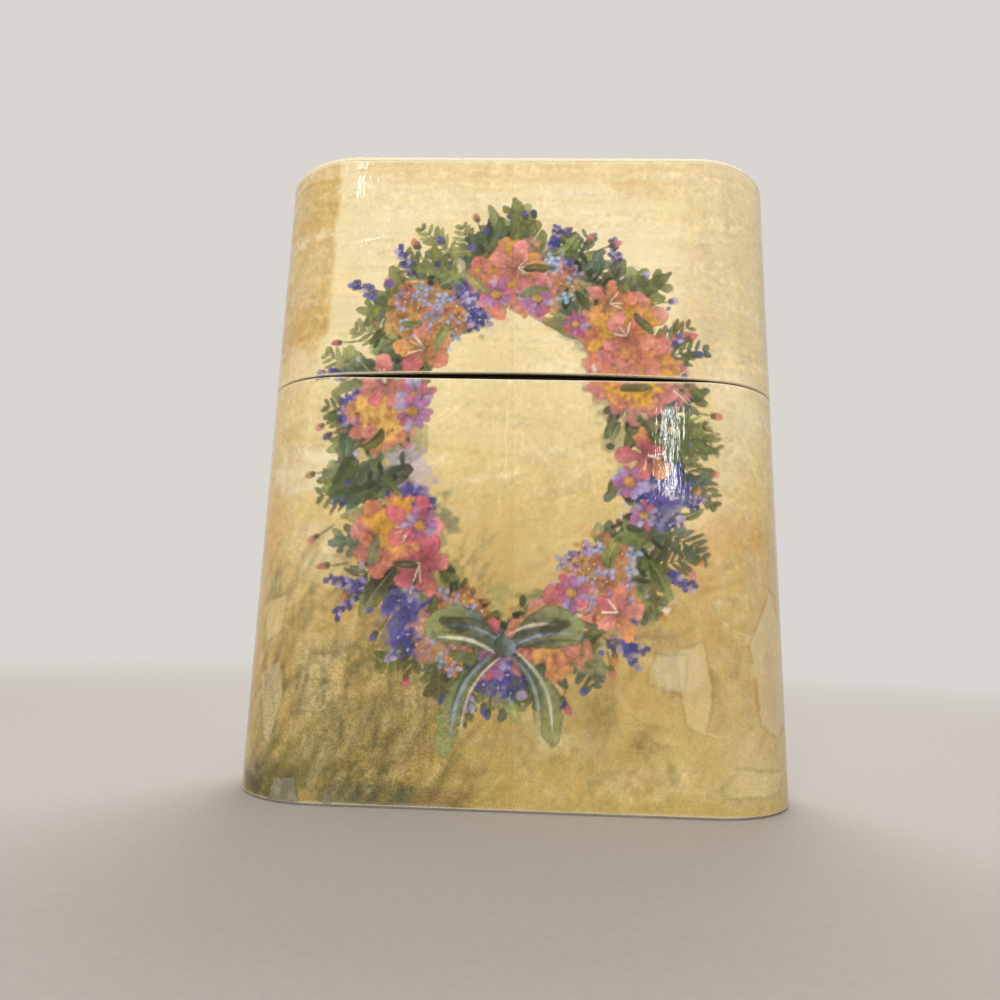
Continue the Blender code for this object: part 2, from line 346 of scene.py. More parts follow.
class Canvas:
    """The painting, unrolled: columns run round the box and rows up it, in millimetres."""

    def __init__(self, reach: float, height: float, pitch: float, seed: int) -> None:
        """Makes a bare canvas.

        Args:
            reach: Arc to each side of the middle of the front.
            height: Height.
            pitch: Size of a cell.
            seed: Seed of every random draw.
        """
        self.reach = reach
        self.height = height
        self.pitch = pitch
        self.across = np.arange(-reach, reach + pitch, pitch, dtype=np.float32)
        self.up = np.arange(0.0, height + pitch, pitch, dtype=np.float32)
        shape = (len(self.up), len(self.across))
        self.colour = np.zeros((*shape, 3), np.float32)
        self.marks = {mark: np.zeros(shape, np.float32) for mark in Mark}
        self.rng = np.random.default_rng(seed)
        layers = self.cloud(0.33, 0.29) + self.cloud(0.41, 0.47) + self.cloud(0.70, 0.61)
        self.tooth = 0.5 + 0.55 * (layers - 1.5)
        self.fine = self.cloud(0.9, 0.9)
        self.middling = 0.65 * self.cloud(5.0, 5.0) + 0.35 * self.cloud(2.3, 2.3)

    def cloud(self, across: float, up: float) -> Array:
        """Soft noise from 0 to 1.

        Args:
            across: Size of its patches round the box.
            up: Size of its patches up the box.

        Returns:
            One value for each cell.
        """
        rows = int(self.height / up) + 4
        columns = int(2 * self.reach / across) + 4
        knots = self.rng.random((rows, columns), dtype=np.float32)
        row, row_part = self.split(self.up / up)
        column, column_part = self.split((self.across + self.reach) / across)
        mixed = knots[row] * (1 - row_part)[:, None] + knots[row + 1] * row_part[:, None]
        return mixed[:, column] * (1 - column_part) + mixed[:, column + 1] * column_part

    @staticmethod
    def split(place: Array) -> tuple[Array, Array]:
        """Parts places into the knot before each and the eased share past it."""
        whole = np.floor(place).astype(int)
        return whole, smooth(place - whole)

    def window(self, middle: Point, reach: float) -> tuple[slice, slice]:
        """The rows and columns of the cells about a point.

        Args:
            middle: Its arc and height.
            reach: How far away they may lie.

        Returns:
            Both ranges.
        """
        column = int((middle[0] + self.reach) / self.pitch)
        row = int(middle[1] / self.pitch)
        size = int(reach / self.pitch) + 2
        rows = slice(max(row - size, 0), max(row + size, 0))
        return rows, slice(max(column - size, 0), max(column + size, 0))

    def offsets(self, window: tuple[slice, slice], start: Point) -> tuple[Array, Array]:
        """How far a window's columns and rows lie from a point, round the box and up it."""
        return self.across[window[1]][None, :] - start[0], self.up[window[0]][:, None] - start[1]

    def tint(self, paint: Paint, cover: Array) -> None:
        """Draws the colour of every cell towards a paint, by its cover."""
        self.colour += (paint.light - self.colour) * cover[..., None]

    def lay_ground(self, stops: Sequence[tuple[float, Paint]]) -> None:
        """Grades the ground from foot to top.

        Args:
            stops: Heights with their paints, lowest first.
        """
        drift = 9.0 * (self.cloud(26.0, 14.0) - 0.5) + 5.0 * (self.cloud(7.0, 6.0) - 0.5)
        height = self.up[:, None] + drift
        heights = [stop for stop, _ in stops]
        for channel in range(3):
            levels = [paint.light[channel] for _, paint in stops]
            self.colour[..., channel] = np.interp(height, heights, levels)

    def inside(self, wash: Wash) -> Array:
        """How far each cell lies inside a wash.

        Args:
            wash: The wash.

        Returns:
            Shares of its size, below 0 outside it.
        """
        along = self.across[None, :] - wash.across
        rise = self.up[:, None] - wash.up
        cosine, sine = math.cos(wash.turn), math.sin(wash.turn)
        across = np.abs(along * cosine + rise * sine) / wash.half_wide
        up = np.abs(rise * cosine - along * sine) / wash.half_high
        wander = (self.middling - 0.5) + 0.35 * (self.fine - 0.5)
        away = (across**wash.corner + up**wash.corner) ** (1 / wash.corner)
        return 1 - away + wash.ragged * wander

    def lay_wash(self, wash: Wash) -> None:
        """Lays one wash over the ground, with its paint pooled along the rim.

        Args:
            wash: The wash.
        """
        inside = self.inside(wash)
        self.tint(wash.paint, smooth(inside / wash.softness) * wash.strength * (0.8 + 0.4 * self.middling))
        if wash.rim:
            reach = 0.4 / min(wash.half_wide, wash.half_high)
            pooled = np.exp(-((inside / reach) ** 2)) * wash.rim
            self.colour *= 1 - pooled[..., None]

    def lay_flake(self, flake: Flake) -> None:
        """Lays one torn-edged patch, thinnest in its middle and darker along its rim.

        Args:
            flake: The patch.
        """
        pairs = list(zip(flake.corners, flake.corners[1:] + flake.corners[:1]))
        area = sum(x * next_z - z * next_x for (x, z), (next_x, next_z) in pairs)
        depth = np.full(self.middling.shape, self.height, np.float32)
        for (x, z), (next_x, next_z) in pairs:
            run, rise = next_x - x, next_z - z
            beside = run * (self.up[:, None] - z) - rise * (self.across[None, :] - x)
            depth = np.minimum(depth, math.copysign(1.0, area) * beside / math.hypot(run, rise))
        depth = depth + flake.ragged * (self.middling - 0.5 + 0.35 * (self.fine - 0.5))
        thin = 0.62 + 0.38 * np.exp(-np.maximum(depth, 0.0) / flake.thinning)
        self.tint(
            flake.paint, smooth(depth / flake.edge) * thin * flake.strength * (0.7 + 0.6 * self.middling)
        )
        pooled = np.exp(-((depth / flake.rim_wide) ** 2)) * flake.rim * (0.3 + 1.4 * self.middling)
        self.colour *= 1 - pooled[..., None]

    def settle(self, wash: Wash) -> None:
        """Lets dark grains of pigment settle in the hollows of the paper."""
        grains = smooth((self.tooth + 0.15 * self.fine + 0.45 * self.middling - 0.56) / 0.5)
        self.tint(wash.paint, smooth(self.inside(wash) / wash.softness) * wash.strength * grains)

    def brush(self, work: Brushwork) -> None:
        """Lays a field of brush marks.

        Args:
            work: Their bounds, size and paints.
        """
        rng = self.rng
        for _ in range(work.count):
            paint = work.paints[int(rng.integers(len(work.paints)))]
            size = 0.5 + rng.random()
            dab = Dab(
                (rng.uniform(work.left, work.right), rng.uniform(work.low, work.high)),
                work.angle + work.fan * rng.uniform(-1, 1),
                work.length * size,
                work.width * rng.uniform(0.5, 1.5),
                paint.light * rng.uniform(0.92, 1.08),
                opacity=work.opacity * rng.uniform(0.4, 1.0),
                bend=rng.uniform(-0.06, 0.06),
                tone=0.05, edge=0.06, soft=0.6, wobble=0.9,
            )
            self.paint(dab)

    def paint(self, dab: Dab) -> None:
        """Paints one brush mark, with ragged sides and the paper's tooth in it.

        Args:
            dab: The mark.
        """
        cosine, sine = math.cos(dab.angle), math.sin(dab.angle)
        middle = dab.length / 2
        reach = middle + dab.width / 2 + abs(dab.bend) * dab.length
        window = self.window((dab.root[0] + middle * cosine, dab.root[1] + middle * sine), reach)
        across, up = self.offsets(window, dab.root)
        if not across.size or not up.size:
            return
        fine, tooth = self.fine[window], self.tooth[window]
        along = (across * cosine + up * sine) / dab.length
        held = np.clip(along, 0.0, 1.0)
        aside = up * cosine - across * sine - dab.bend * dab.length * np.sin(math.pi * held)
        power = math.log(0.5) / math.log(dab.widest)
        half = dab.width / 2 * np.sqrt(np.sin(math.pi * held**power).clip(0.0, 1.0))
        depth = half - np.abs(aside) - np.abs(along - held) * dab.length
        depth = depth + dab.wobble * min(dab.width, 2.0) * 0.4 * (fine + 0.4 * tooth - 0.7)
        depth = np.where(held * (1 - held) > 0, depth, -1.0)
        cover = np.clip(depth / dab.soft + 0.5, 0.0, 1.0) * dab.opacity
        shade = 1 + dab.tone * (2 * along - 1) + 0.32 * (fine - 0.5) + 0.26 * (tooth - 0.5)
        shade = shade * (1 - dab.edge * np.exp(-((depth / 0.2) ** 2)))
        paint = dab.paint
        if dab.tip is not None:
            turned = smooth(0.2 + held + 1.3 * (self.middling[window] - 0.65))[..., None]
            paint = paint + (dab.tip - paint) * turned
        patch = self.colour[window]
        self.colour[window] = patch + (paint * shade[..., None] - patch) * cover[..., None]

    def spot(self, middle: Point, size: float, paint: Array, opacity: float) -> None:
        """Paints a soft ragged spot, such as a bloom of thin wash.

        Args:
            middle: Its arc and height.
            size: Its radius.
            paint: Linear colour.
            opacity: How well it covers.
        """
        window = self.window(middle, 1.5 * size)
        along, rise = self.offsets(window, middle)
        fine, tooth = self.fine[window], self.tooth[window]
        wander = 0.9 * (self.middling[window] - 0.5) + 0.6 * (fine - 0.5)
        inside = 1 - np.hypot(along, rise) / size + wander
        cover = smooth(inside / 0.30) * opacity
        shade = 1 + 0.3 * (fine - 0.5) + 0.3 * (tooth - 0.5) - 0.22 * np.exp(-((inside / 0.10) ** 2))
        patch = self.colour[window]
        self.colour[window] = patch + (paint * shade[..., None] - patch) * cover[..., None]

    def crease(self, points: Sequence[Point], rise: float, width: float, pale: float) -> None:
        """Raises a crease in the paper and paints its crest pale, as a painted highlight.

        Args:
            points: Arc and height of each bend.
            rise: Height of the crest, negative for a dent.
            width: Half width at which it has fallen to a third.
            pale: How pale the painted highlight along the crest is.
        """
        bound = np.maximum if rise > 0 else np.minimum
        relief, wear = self.marks[Mark.RELIEF], self.marks[Mark.WEAR]
        for start, end in zip(points, points[1:]):
            run = np.array([end[0] - start[0], end[1] - start[1]])
            length = float(np.hypot(*run))
            window = self.window((start[0] + run[0] / 2, start[1] + run[1] / 2), length / 2 + 3 * width)
            along, above = self.offsets(window, start)
            share = np.clip((along * run[0] + above * run[1]) / length**2, 0.0, 1.0)
            apart = np.hypot(along - share * run[0], above - share * run[1])
            crest = np.exp(-((apart / width) ** 2))
            relief[window] = bound(relief[window], rise * crest)
            # The pale crest is a painted highlight, as if the crease caught the light.
            paler = pale * crest**3 * (0.55 + 0.9 * self.fine[window])
            wear[window] = np.maximum(wear[window], paler)

    def show_tooth(self) -> None:
        """Shows the tooth of the paper through all the paint, most where it is dark."""
        veil = self.cloud(3.2, 24.0) - 0.5
        mottle = self.cloud(2.2, 2.2) - 0.5
        depth = 0.06 + 0.26 * (1 - self.colour.mean(axis=2))
        tone = 1 + 0.06 * veil + 0.05 * mottle + depth * (self.tooth - 0.5)
        self.colour *= tone[..., None]

    def look(self, layer: Array, across: Array, up: Array) -> Array:
        """Reads a layer between its cells.

        Args:
            layer: Values of the cells, with or without channels.
            across: Arc of each point.
            up: Height of each point.

        Returns:
            The layer's value at each point.
        """
        column = np.clip((across + self.reach) / self.pitch, 0, layer.shape[1] - 1.001)
        row = np.clip(up / self.pitch, 0, layer.shape[0] - 1.001)
        left, low = column.astype(int), row.astype(int)
        column_part, row_part = column - left, row - low
        if layer.ndim == 3:
            column_part, row_part = column_part[:, None], row_part[:, None]
        below = layer[low, left] * (1 - column_part) + layer[low, left + 1] * column_part
        above = layer[low + 1, left] * (1 - column_part) + layer[low + 1, left + 1] * column_part
        return below * (1 - row_part) + above * row_part


WARM = (Paint.CORAL, Paint.PINK, Paint.ROSE, Paint.ORANGE, Paint.PINK)
COOL = (Paint.VIOLET, Paint.BLUE, Paint.VIOLET, Paint.LILAC)
MIXED = (Paint.ORANGE, Paint.CORAL, Paint.SKY, Paint.LILAC, Paint.SIENNA)
GREENS = (Paint.OLIVE, Paint.MOSS, Paint.SAGE, Paint.GREY_GREEN, Paint.DEEP)


@dataclass
class Florist:
    """Paints generic blossoms, leaves and sprigs on a canvas.

    What grows takes its root, the angle and length of its stem and its paints, and what is
    seen from above takes its middle, its size and its paints. All is in millimetres.
    """

    canvas: Canvas

    def brush(self, *place: object, **traits: object) -> None:
        """Paints one brush mark, given by the fields of a dab."""
        self.canvas.paint(Dab(*place, **traits))

    def vary(self, paint: Paint, spread: float = 0.16) -> Array:
        """A paint with a little chance in its depth and hue."""
        rng = self.canvas.rng
        depth = 1 + spread * (2 * rng.random() - 1)
        hue = 1 + 0.5 * spread * (2 * rng.random(3) - 1)
        return (paint.light * depth * hue).astype(np.float32)

    def pick(self, paints: Sequence[Paint]) -> Paint:
        """One of some paints, by chance."""
        return paints[int(self.canvas.rng.integers(len(paints)))]

    def near(self, middle: float, spread: float) -> float:
        """A value near another, by chance."""
        return middle + spread * (2 * float(self.canvas.rng.random()) - 1)

    def ring(self, start: float, count: int, spread: float) -> Iterator[float]:
        """Angles all round from a start, each a little off by chance."""
        for i in range(count):
            yield start + 2 * math.pi * i / count + self.near(0.0, spread)

    def leaf(self, root: Point, angle: float, length: float, paint: Paint) -> None:
        """Paints a pointed leaf that turns to a second green, with a pale vein."""
        width = length * self.near(0.36, 0.10)
        bend = self.near(0.0, 0.12)
        base = self.vary(paint, 0.26)
        tip = self.vary(self.pick(GREENS[:4]), 0.2)
        self.brush(root, angle, length, width, base, tip, widest=0.42, bend=bend, wobble=0.8)
        self.brush(
            root, angle - 0.08, 0.8 * length, 0.4 * width, base * 0.55, widest=0.35, opacity=0.5,
            edge=0.0, soft=0.3, bend=bend - 0.06, wobble=0.8,
        )
        self.brush(
            root, angle, 0.84 * length, 0.2, tip * 1.6, widest=0.4, opacity=0.45, edge=0.0,
            bend=bend, wobble=0.1,
        )

    def lobed_leaf(self, root: Point, angle: float, length: float, paint: Paint) -> None:
        """Paints a broad leaf with paired lobes and dark hollows between them."""
        base = self.vary(paint, 0.2)
        bend = self.near(0.0, 0.08)
        for i, share in enumerate((0.2, 0.42, 0.64)):
            place = self.on_stem(root, angle, length, bend, share)
            for side in (-1, 1):
                lean = angle + side * self.near(0.85, 0.15)
                size = length * (0.46 - 0.07 * i) * self.near(1.0, 0.15)
                tip = self.vary(self.pick(GREENS[:4]), 0.2)
                self.brush(place, lean, size, 0.46 * size, base, tip, widest=0.6, wobble=0.9)
                self.brush(place, lean - 0.6 * side, 0.5 * size, 0.4, base * 0.4, opacity=0.6, edge=0.0)
        self.brush(root, angle, length, 0.26 * length, base, widest=0.5, bend=bend, wobble=0.9)
        self.brush(root, angle, 0.9 * length, 0.24, base * 1.8, opacity=0.45, edge=0.0, bend=bend)

    def stem(self, root: Point, angle: float, length: float, bend: float) -> None:
        """Paints a thin curved stem."""
        paint = self.vary(Paint.MOSS)
        self.brush(
            root, angle, length, 0.32, paint, widest=0.4, opacity=0.8, edge=0.0, bend=bend, wobble=0.2
        )

    @staticmethod
    def on_stem(root: Point, angle: float, length: float, bend: float, share: float) -> Point:
        """A point on a curved stem, at a share of its length."""
        aside = bend * length * math.sin(math.pi * share)
        run = share * length
        cosine, sine = math.cos(angle), math.sin(angle)
        return root[0] + run * cosine - aside * sine, root[1] + run * sine + aside * cosine

    def fern(self, root: Point, angle: float, length: float, paint: Paint) -> None:
        """Paints a spray with paired leaflets."""
        bend = self.near(0.0, 0.12)
        self.stem(root, angle, length, bend)
        pairs = int(length / 1.15)
        for i in range(1, pairs + 1):
            share = i / (pairs + 0.5)
            place = self.on_stem(root, angle, length, bend, share)
            size = (1.2 + 1.9 * math.sin(math.pi * share**0.8)) * self.near(1.0, 0.15)
            for side in (-1, 1):
                lean = angle + side * self.near(0.85, 0.15)
                width = self.near(0.8, 0.2)
                self.brush(place, lean, size, width, self.vary(paint, 0.3), tone=0.3)

    def spike(self, root: Point, angle: float, length: float, paints: Sequence[Paint]) -> None:
        """Paints a stem set with small dabs, like a flowering grass."""
        bend = self.near(0.0, 0.10)
        self.stem(root, angle, length, bend)
        count = int(length * 1.7)
        for i in range(count):
            share = 0.35 + 0.65 * (i + 1) / count
            place = self.on_stem(root, angle, length, bend, share)
            lean = angle + (1 if i % 2 else -1) * self.near(0.7, 0.4)
            size = self.near(1.4, 0.4) * (1.25 - 0.5 * share)
            paint = self.vary(self.pick(paints), 0.25)
            self.brush(place, lean, size, 0.85, paint, widest=0.6, tone=0.25)

    def blossom(self, middle: Point, size: float, paint: Paint, petals: int = 5) -> None:
        """Paints an open blossom whose petals turn paler outwards, with fine stamens."""
        start = self.near(0.0, math.pi)
        for angle in self.ring(start, petals, 0.2):
            length = size * self.near(1.0, 0.16)
            base = self.vary(paint, 0.14)
            tip = self.vary(self.pick(WARM), 0.12) * 1.25
            width = 3.0 * size / petals * self.near(1.0, 0.15)
            self.brush(middle, angle, length, width, base * 0.86, tip, widest=0.6, edge=0.36, wobble=0.9)
            for lean in (-0.2, 0.18):
                self.brush(
                    middle, angle + lean, length * self.near(0.6, 0.15), 0.26, base * 0.5,
                    widest=0.4, opacity=0.42, edge=0.0, wobble=0.2,
                )
        heart = (middle[0] - 0.3, middle[1])
        self.brush(heart, 0.4, 0.8, 0.7, self.vary(Paint.UMBER), opacity=0.6, soft=0.3)
        for _ in range(5):
            lean = self.near(start, 1.0)
            reach = size * self.near(0.55, 0.12)
            self.brush(middle, lean, reach, 0.17, self.vary(Paint.PALE), opacity=0.6, edge=0.0)
            anther = polar(middle, lean, reach)
            self.brush(anther, lean, 0.4, 0.34, self.vary(Paint.SIENNA), opacity=0.85, edge=0.0)

    def daisy(self, middle: Point, size: float, paint: Paint) -> None:
        """Paints a small daisy with narrow petals and a golden eye."""
        for angle in self.ring(self.near(0.0, math.pi), 11, 0.14):
            length = size * self.near(1.0, 0.18)
            tip = self.vary(self.pick((Paint.LILAC, paint, Paint.ROSE)), 0.15)
            self.brush(middle, angle, length, 0.46 * size, self.vary(paint, 0.2), tip, widest=0.7)
        gold = self.vary(Paint.GOLD)
        eye = 0.3 * size
        self.brush((middle[0] - eye, middle[1]), 0.0, 2 * eye, 1.8 * eye, gold, edge=0.4, tone=-0.2)
        for _ in range(6):
            angle = self.near(0.0, math.pi)
            speck = polar(middle, angle, eye)
            self.brush(speck, angle, 0.36, 0.28, self.vary(Paint.UMBER), opacity=0.8, edge=0.0)

    def dome(self, middle: Point, size: float, skirt: Paint, crown: Paint) -> None:
        """Paints a full blossom: a ragged skirt of petals round a mottled crown."""
        self.canvas.spot(middle, 1.02 * size, self.vary(skirt), 0.7)
        for share in (1.0, 0.76):
            for angle in self.ring(self.near(0.0, math.pi), 9, 0.25):
                root = polar(middle, angle, 0.40 * share * size)
                length = size * share * self.near(0.62, 0.12)
                tip = self.vary(self.pick((Paint.CORAL, Paint.ORANGE, Paint.PINK)), 0.15)
                self.brush(
                    root, angle, length, 0.52 * size * share, self.vary(skirt, 0.16), tip,
                    widest=0.62, edge=0.34, opacity=0.8, wobble=1.0,
                )
        top = (middle[0], middle[1] + 0.14 * size)
        self.canvas.spot(top, 0.78 * size, self.vary(crown), 0.97)
        for _ in range(22):
            angle = self.near(0.0, math.pi)
            place = polar(top, angle, 0.58 * size * math.sqrt(float(self.canvas.rng.random())))
            paint = self.vary(self.pick((crown, Paint.ORANGE, Paint.SIENNA, Paint.GOLD)), 0.2)
            lean = self.near(math.pi / 2, 0.9)
            self.brush(place, lean, 0.26 * size, 0.15 * size, paint, opacity=0.5, edge=0.3, wobble=0.9)
        for i in range(7):
            angle = -math.pi * (i + 0.5) / 7
            dark = self.vary(Paint.SIENNA) * 0.55
            root = polar(top, angle, 0.62 * size)
            self.brush(root, angle, self.near(0.8, 0.3), 0.5, dark, opacity=0.6, edge=0.0, soft=0.2)

    def cluster(self, middle: Point, size: float, paints: Sequence[Paint]) -> None:
        """Paints a head of tiny florets over a soft wash of their colour."""
        self.canvas.spot(middle, 1.05 * size, self.vary(paints[0]) * 1.2, 0.55)
        for i in range(int(7 * size)):
            angle = self.near(math.pi, math.pi)
            place = polar(middle, angle, size * math.sqrt(float(self.canvas.rng.random())))
            start = self.near(0.0, 0.8)
            base = self.vary(self.pick(paints), 0.26)
            for lean in self.ring(start, 4, 0.25):
                self.brush(place, lean, self.near(1.15, 0.4), 0.74, base, widest=0.6, tone=0.3)
            heart = self.vary(Paint.PALE if i % 3 else Paint.UMBER)
            self.brush((place[0] - 0.15, place[1]), 0.0, 0.34, 0.32, heart, opacity=0.6, edge=0.0)

    def bud(self, root: Point, angle: float, paint: Paint) -> None:
        """Paints a bud on a short stalk."""
        length = self.near(2.6, 0.9)
        self.stem(root, angle, length, 0.05)
        tip = self.on_stem(root, angle, length, 0.05, 0.85)
        self.brush(tip, angle, self.near(1.9, 0.4), 1.1, self.vary(paint), widest=0.5, tone=0.3)
        self.brush(tip, angle, 0.9, 0.9, self.vary(Paint.MOSS), widest=0.4, opacity=0.8)

    def ribbon(self, middle: Point, size: float) -> None:
        """Paints a loose bow of grey-green ribbon: two tails, two loops and the knot."""
        for side in (-1, 1):
            tail = -math.pi / 2 + side * 0.5
            self.band(middle, tail, size * self.near(1.35, 0.12), 0.30 * size, side * 0.14)
            loop = math.pi / 2 - side * 1.30
            self.band(middle, loop, size, 0.52 * size, side * 0.10)
            root = self.on_stem(middle, loop, size, side * 0.10, 0.46)
            hollow = self.vary(Paint.NIGHT)
            self.brush(root, loop, 0.40 * size, 0.17 * size, hollow, opacity=0.75, soft=0.3, wobble=0.8)
        knot = 0.27 * size
        paint, tip = self.vary(Paint.GREY_GREEN), self.vary(Paint.SKY)
        start = (middle[0] - 0.5 * knot, middle[1])
        self.brush(start, 0.1, knot, 1.1 * knot, paint, tip, edge=0.45, tone=0.3)

    def band(self, root: Point, angle: float, length: float, width: float, bend: float) -> None:
        """Paints one length of ribbon, with folds down it and light along one edge."""
        base, tip = self.vary(Paint.GREY_GREEN, 0.1), self.vary(Paint.SAGE, 0.1)
        self.brush(
            root, angle, length, width, base, tip, widest=0.66, edge=0.5, bend=bend, wobble=0.8,
            opacity=0.9,
        )
        for share, paint, depth in (
            (-0.26, Paint.NIGHT, 0.5), (-0.08, Paint.SKY, 0.5), (0.1, Paint.DEEP, 0.45),
            (0.22, Paint.PALE, 0.6), (0.3, Paint.MOSS, 0.4),
        ):
            aside = share * width
            place = (root[0] - aside * math.sin(angle), root[1] + aside * math.cos(angle))
            self.brush(
                place, angle, length * self.near(0.8, 0.1), self.near(0.45, 0.15), self.vary(paint),
                widest=0.6, edge=0.0, bend=bend, opacity=depth, soft=0.2, wobble=0.6,
            )

    def shadow(self, root: Point) -> None:
        """Paints a small dark gap between leaves."""
        paint = self.vary(Paint.NIGHT)
        length = self.near(1.7, 0.7)
        self.brush(
            root, self.near(0.0, math.pi), length, self.near(0.9, 0.3), paint, opacity=0.8
        )

    def sprig(self, arc: float, height: float) -> None:
        """Paints one loose sprig: a fern, two leaves and a flower."""
        across, up = self.near(arc, 2.0), self.near(height, 3.0)
        lean = self.near(math.pi / 2, 0.6)
        self.fern((across, up - 3), lean, self.near(8.0, 1.2), self.pick(GREENS[:3]))
        for turn in (-1.1, 1.2):
            self.leaf((across, up - 2), lean + turn, self.near(4.6, 0.8), self.pick(GREENS))
        self.blossom((across, up), self.near(2.6, 0.4), self.pick(WARM))
        self.bud((across, up), lean + self.near(0.8, 0.3), self.pick(COOL))


@dataclass
class Wreath:
    """A loose oval wreath of mixed flowers."""

    florist: Florist
    across: float
    up: float
    half_wide: float
    half_high: float

    def scatter(
        self, count: int, out: float, spread: float, draw: Callable[[Point, float], None]
    ) -> None:
        """Draws something all round the oval, by a little chance.

        Args:
            count: How many.
            out: How far out from the oval they lie.
            spread: How far out or in from there each may stray.
            draw: Takes a point and the outward angle there.
        """
        near = self.florist.near
        for i in range(count):
            angle = 2 * math.pi / count * (i + near(0.0, 0.5))
            away = near(out, spread)
            across = self.across + (self.half_wide + away) * math.cos(angle)
            draw((across, self.up + (self.half_high + away) * math.sin(angle)), angle)

    def greenery(self) -> None:
        """Paints the soft shade at the back, the sprays and the leaves."""
        hand = self.florist
        near, pick = hand.near, hand.pick
        shades = (Paint.SAGE, Paint.OLIVE, Paint.GREY_GREEN, Paint.LILAC, Paint.MOSS)
        for count, out, spread, draw in (
            (70, 0.0, 3.4, lambda p, a: hand.canvas.spot(p, near(3.8, 1.4), hand.vary(pick(shades)), 0.5)),
            (32, 1.5, 1.8, lambda p, a: hand.fern(p, a + near(0.0, 0.9), near(9.0, 2.4), pick(GREENS[:4]))),
            (24, 2.0, 1.5, lambda p, a: hand.spike(p, a + near(0.0, 0.9), near(8.5, 2.4), COOL)),
            (40, 0.6, 3.4, lambda p, a: hand.lobed_leaf(p, a + near(0.0, 1.5), near(8.5, 1.8), pick(GREENS))),
            (150, 0.2, 4.4, lambda p, a: hand.leaf(p, a + near(0.0, 2.2), near(6.4, 2.2), pick(GREENS))),
            (190, 0.2, 5.0, lambda p, a: hand.shadow(p)),
        ):
            self.scatter(count, out, spread, draw)

    def bloom(self) -> None:
        """Paints the flowers over the leaves, full ones first, and the buds round them."""
        hand = self.florist
        near, pick = hand.near, hand.pick
        skirts, crowns = (Paint.CORAL, Paint.ORANGE, Paint.PINK), (Paint.GOLD, Paint.AMBER)
        for count, out, spread, draw in (
            (11, 0.8, 3.6, lambda p, a: hand.cluster(p, near(4.0, 0.9), COOL)),
            (5, 0.0, 2.0, lambda p, a: hand.cluster(p, near(5.6, 0.8), MIXED)),
            (6, 0.0, 2.2, lambda p, a: hand.dome(p, near(6.2, 0.8), pick(skirts), pick(crowns))),
            (11, 0.4, 4.2, lambda p, a: hand.blossom(p, near(4.4, 0.8), pick(WARM))),
            (10, 0.0, 4.0, lambda p, a: hand.daisy(p, near(2.4, 0.5), Paint.MAUVE)),
            (26, 1.5, 5.0, lambda p, a: hand.leaf(p, a + near(0.0, 2.6), near(4.4, 1.2), pick(GREENS))),
            (36, 6.8, 1.4, lambda p, a: hand.bud(p, a + near(0.0, 0.7), pick(WARM + COOL))),
            (26, 7.5, 2.2, lambda p, a: hand.canvas.spot(p, near(0.55, 0.25), hand.vary(pick(COOL)), 0.8)),
        ):
            self.scatter(count, out, spread, draw)


# Layers of the print, each in the order of its laying

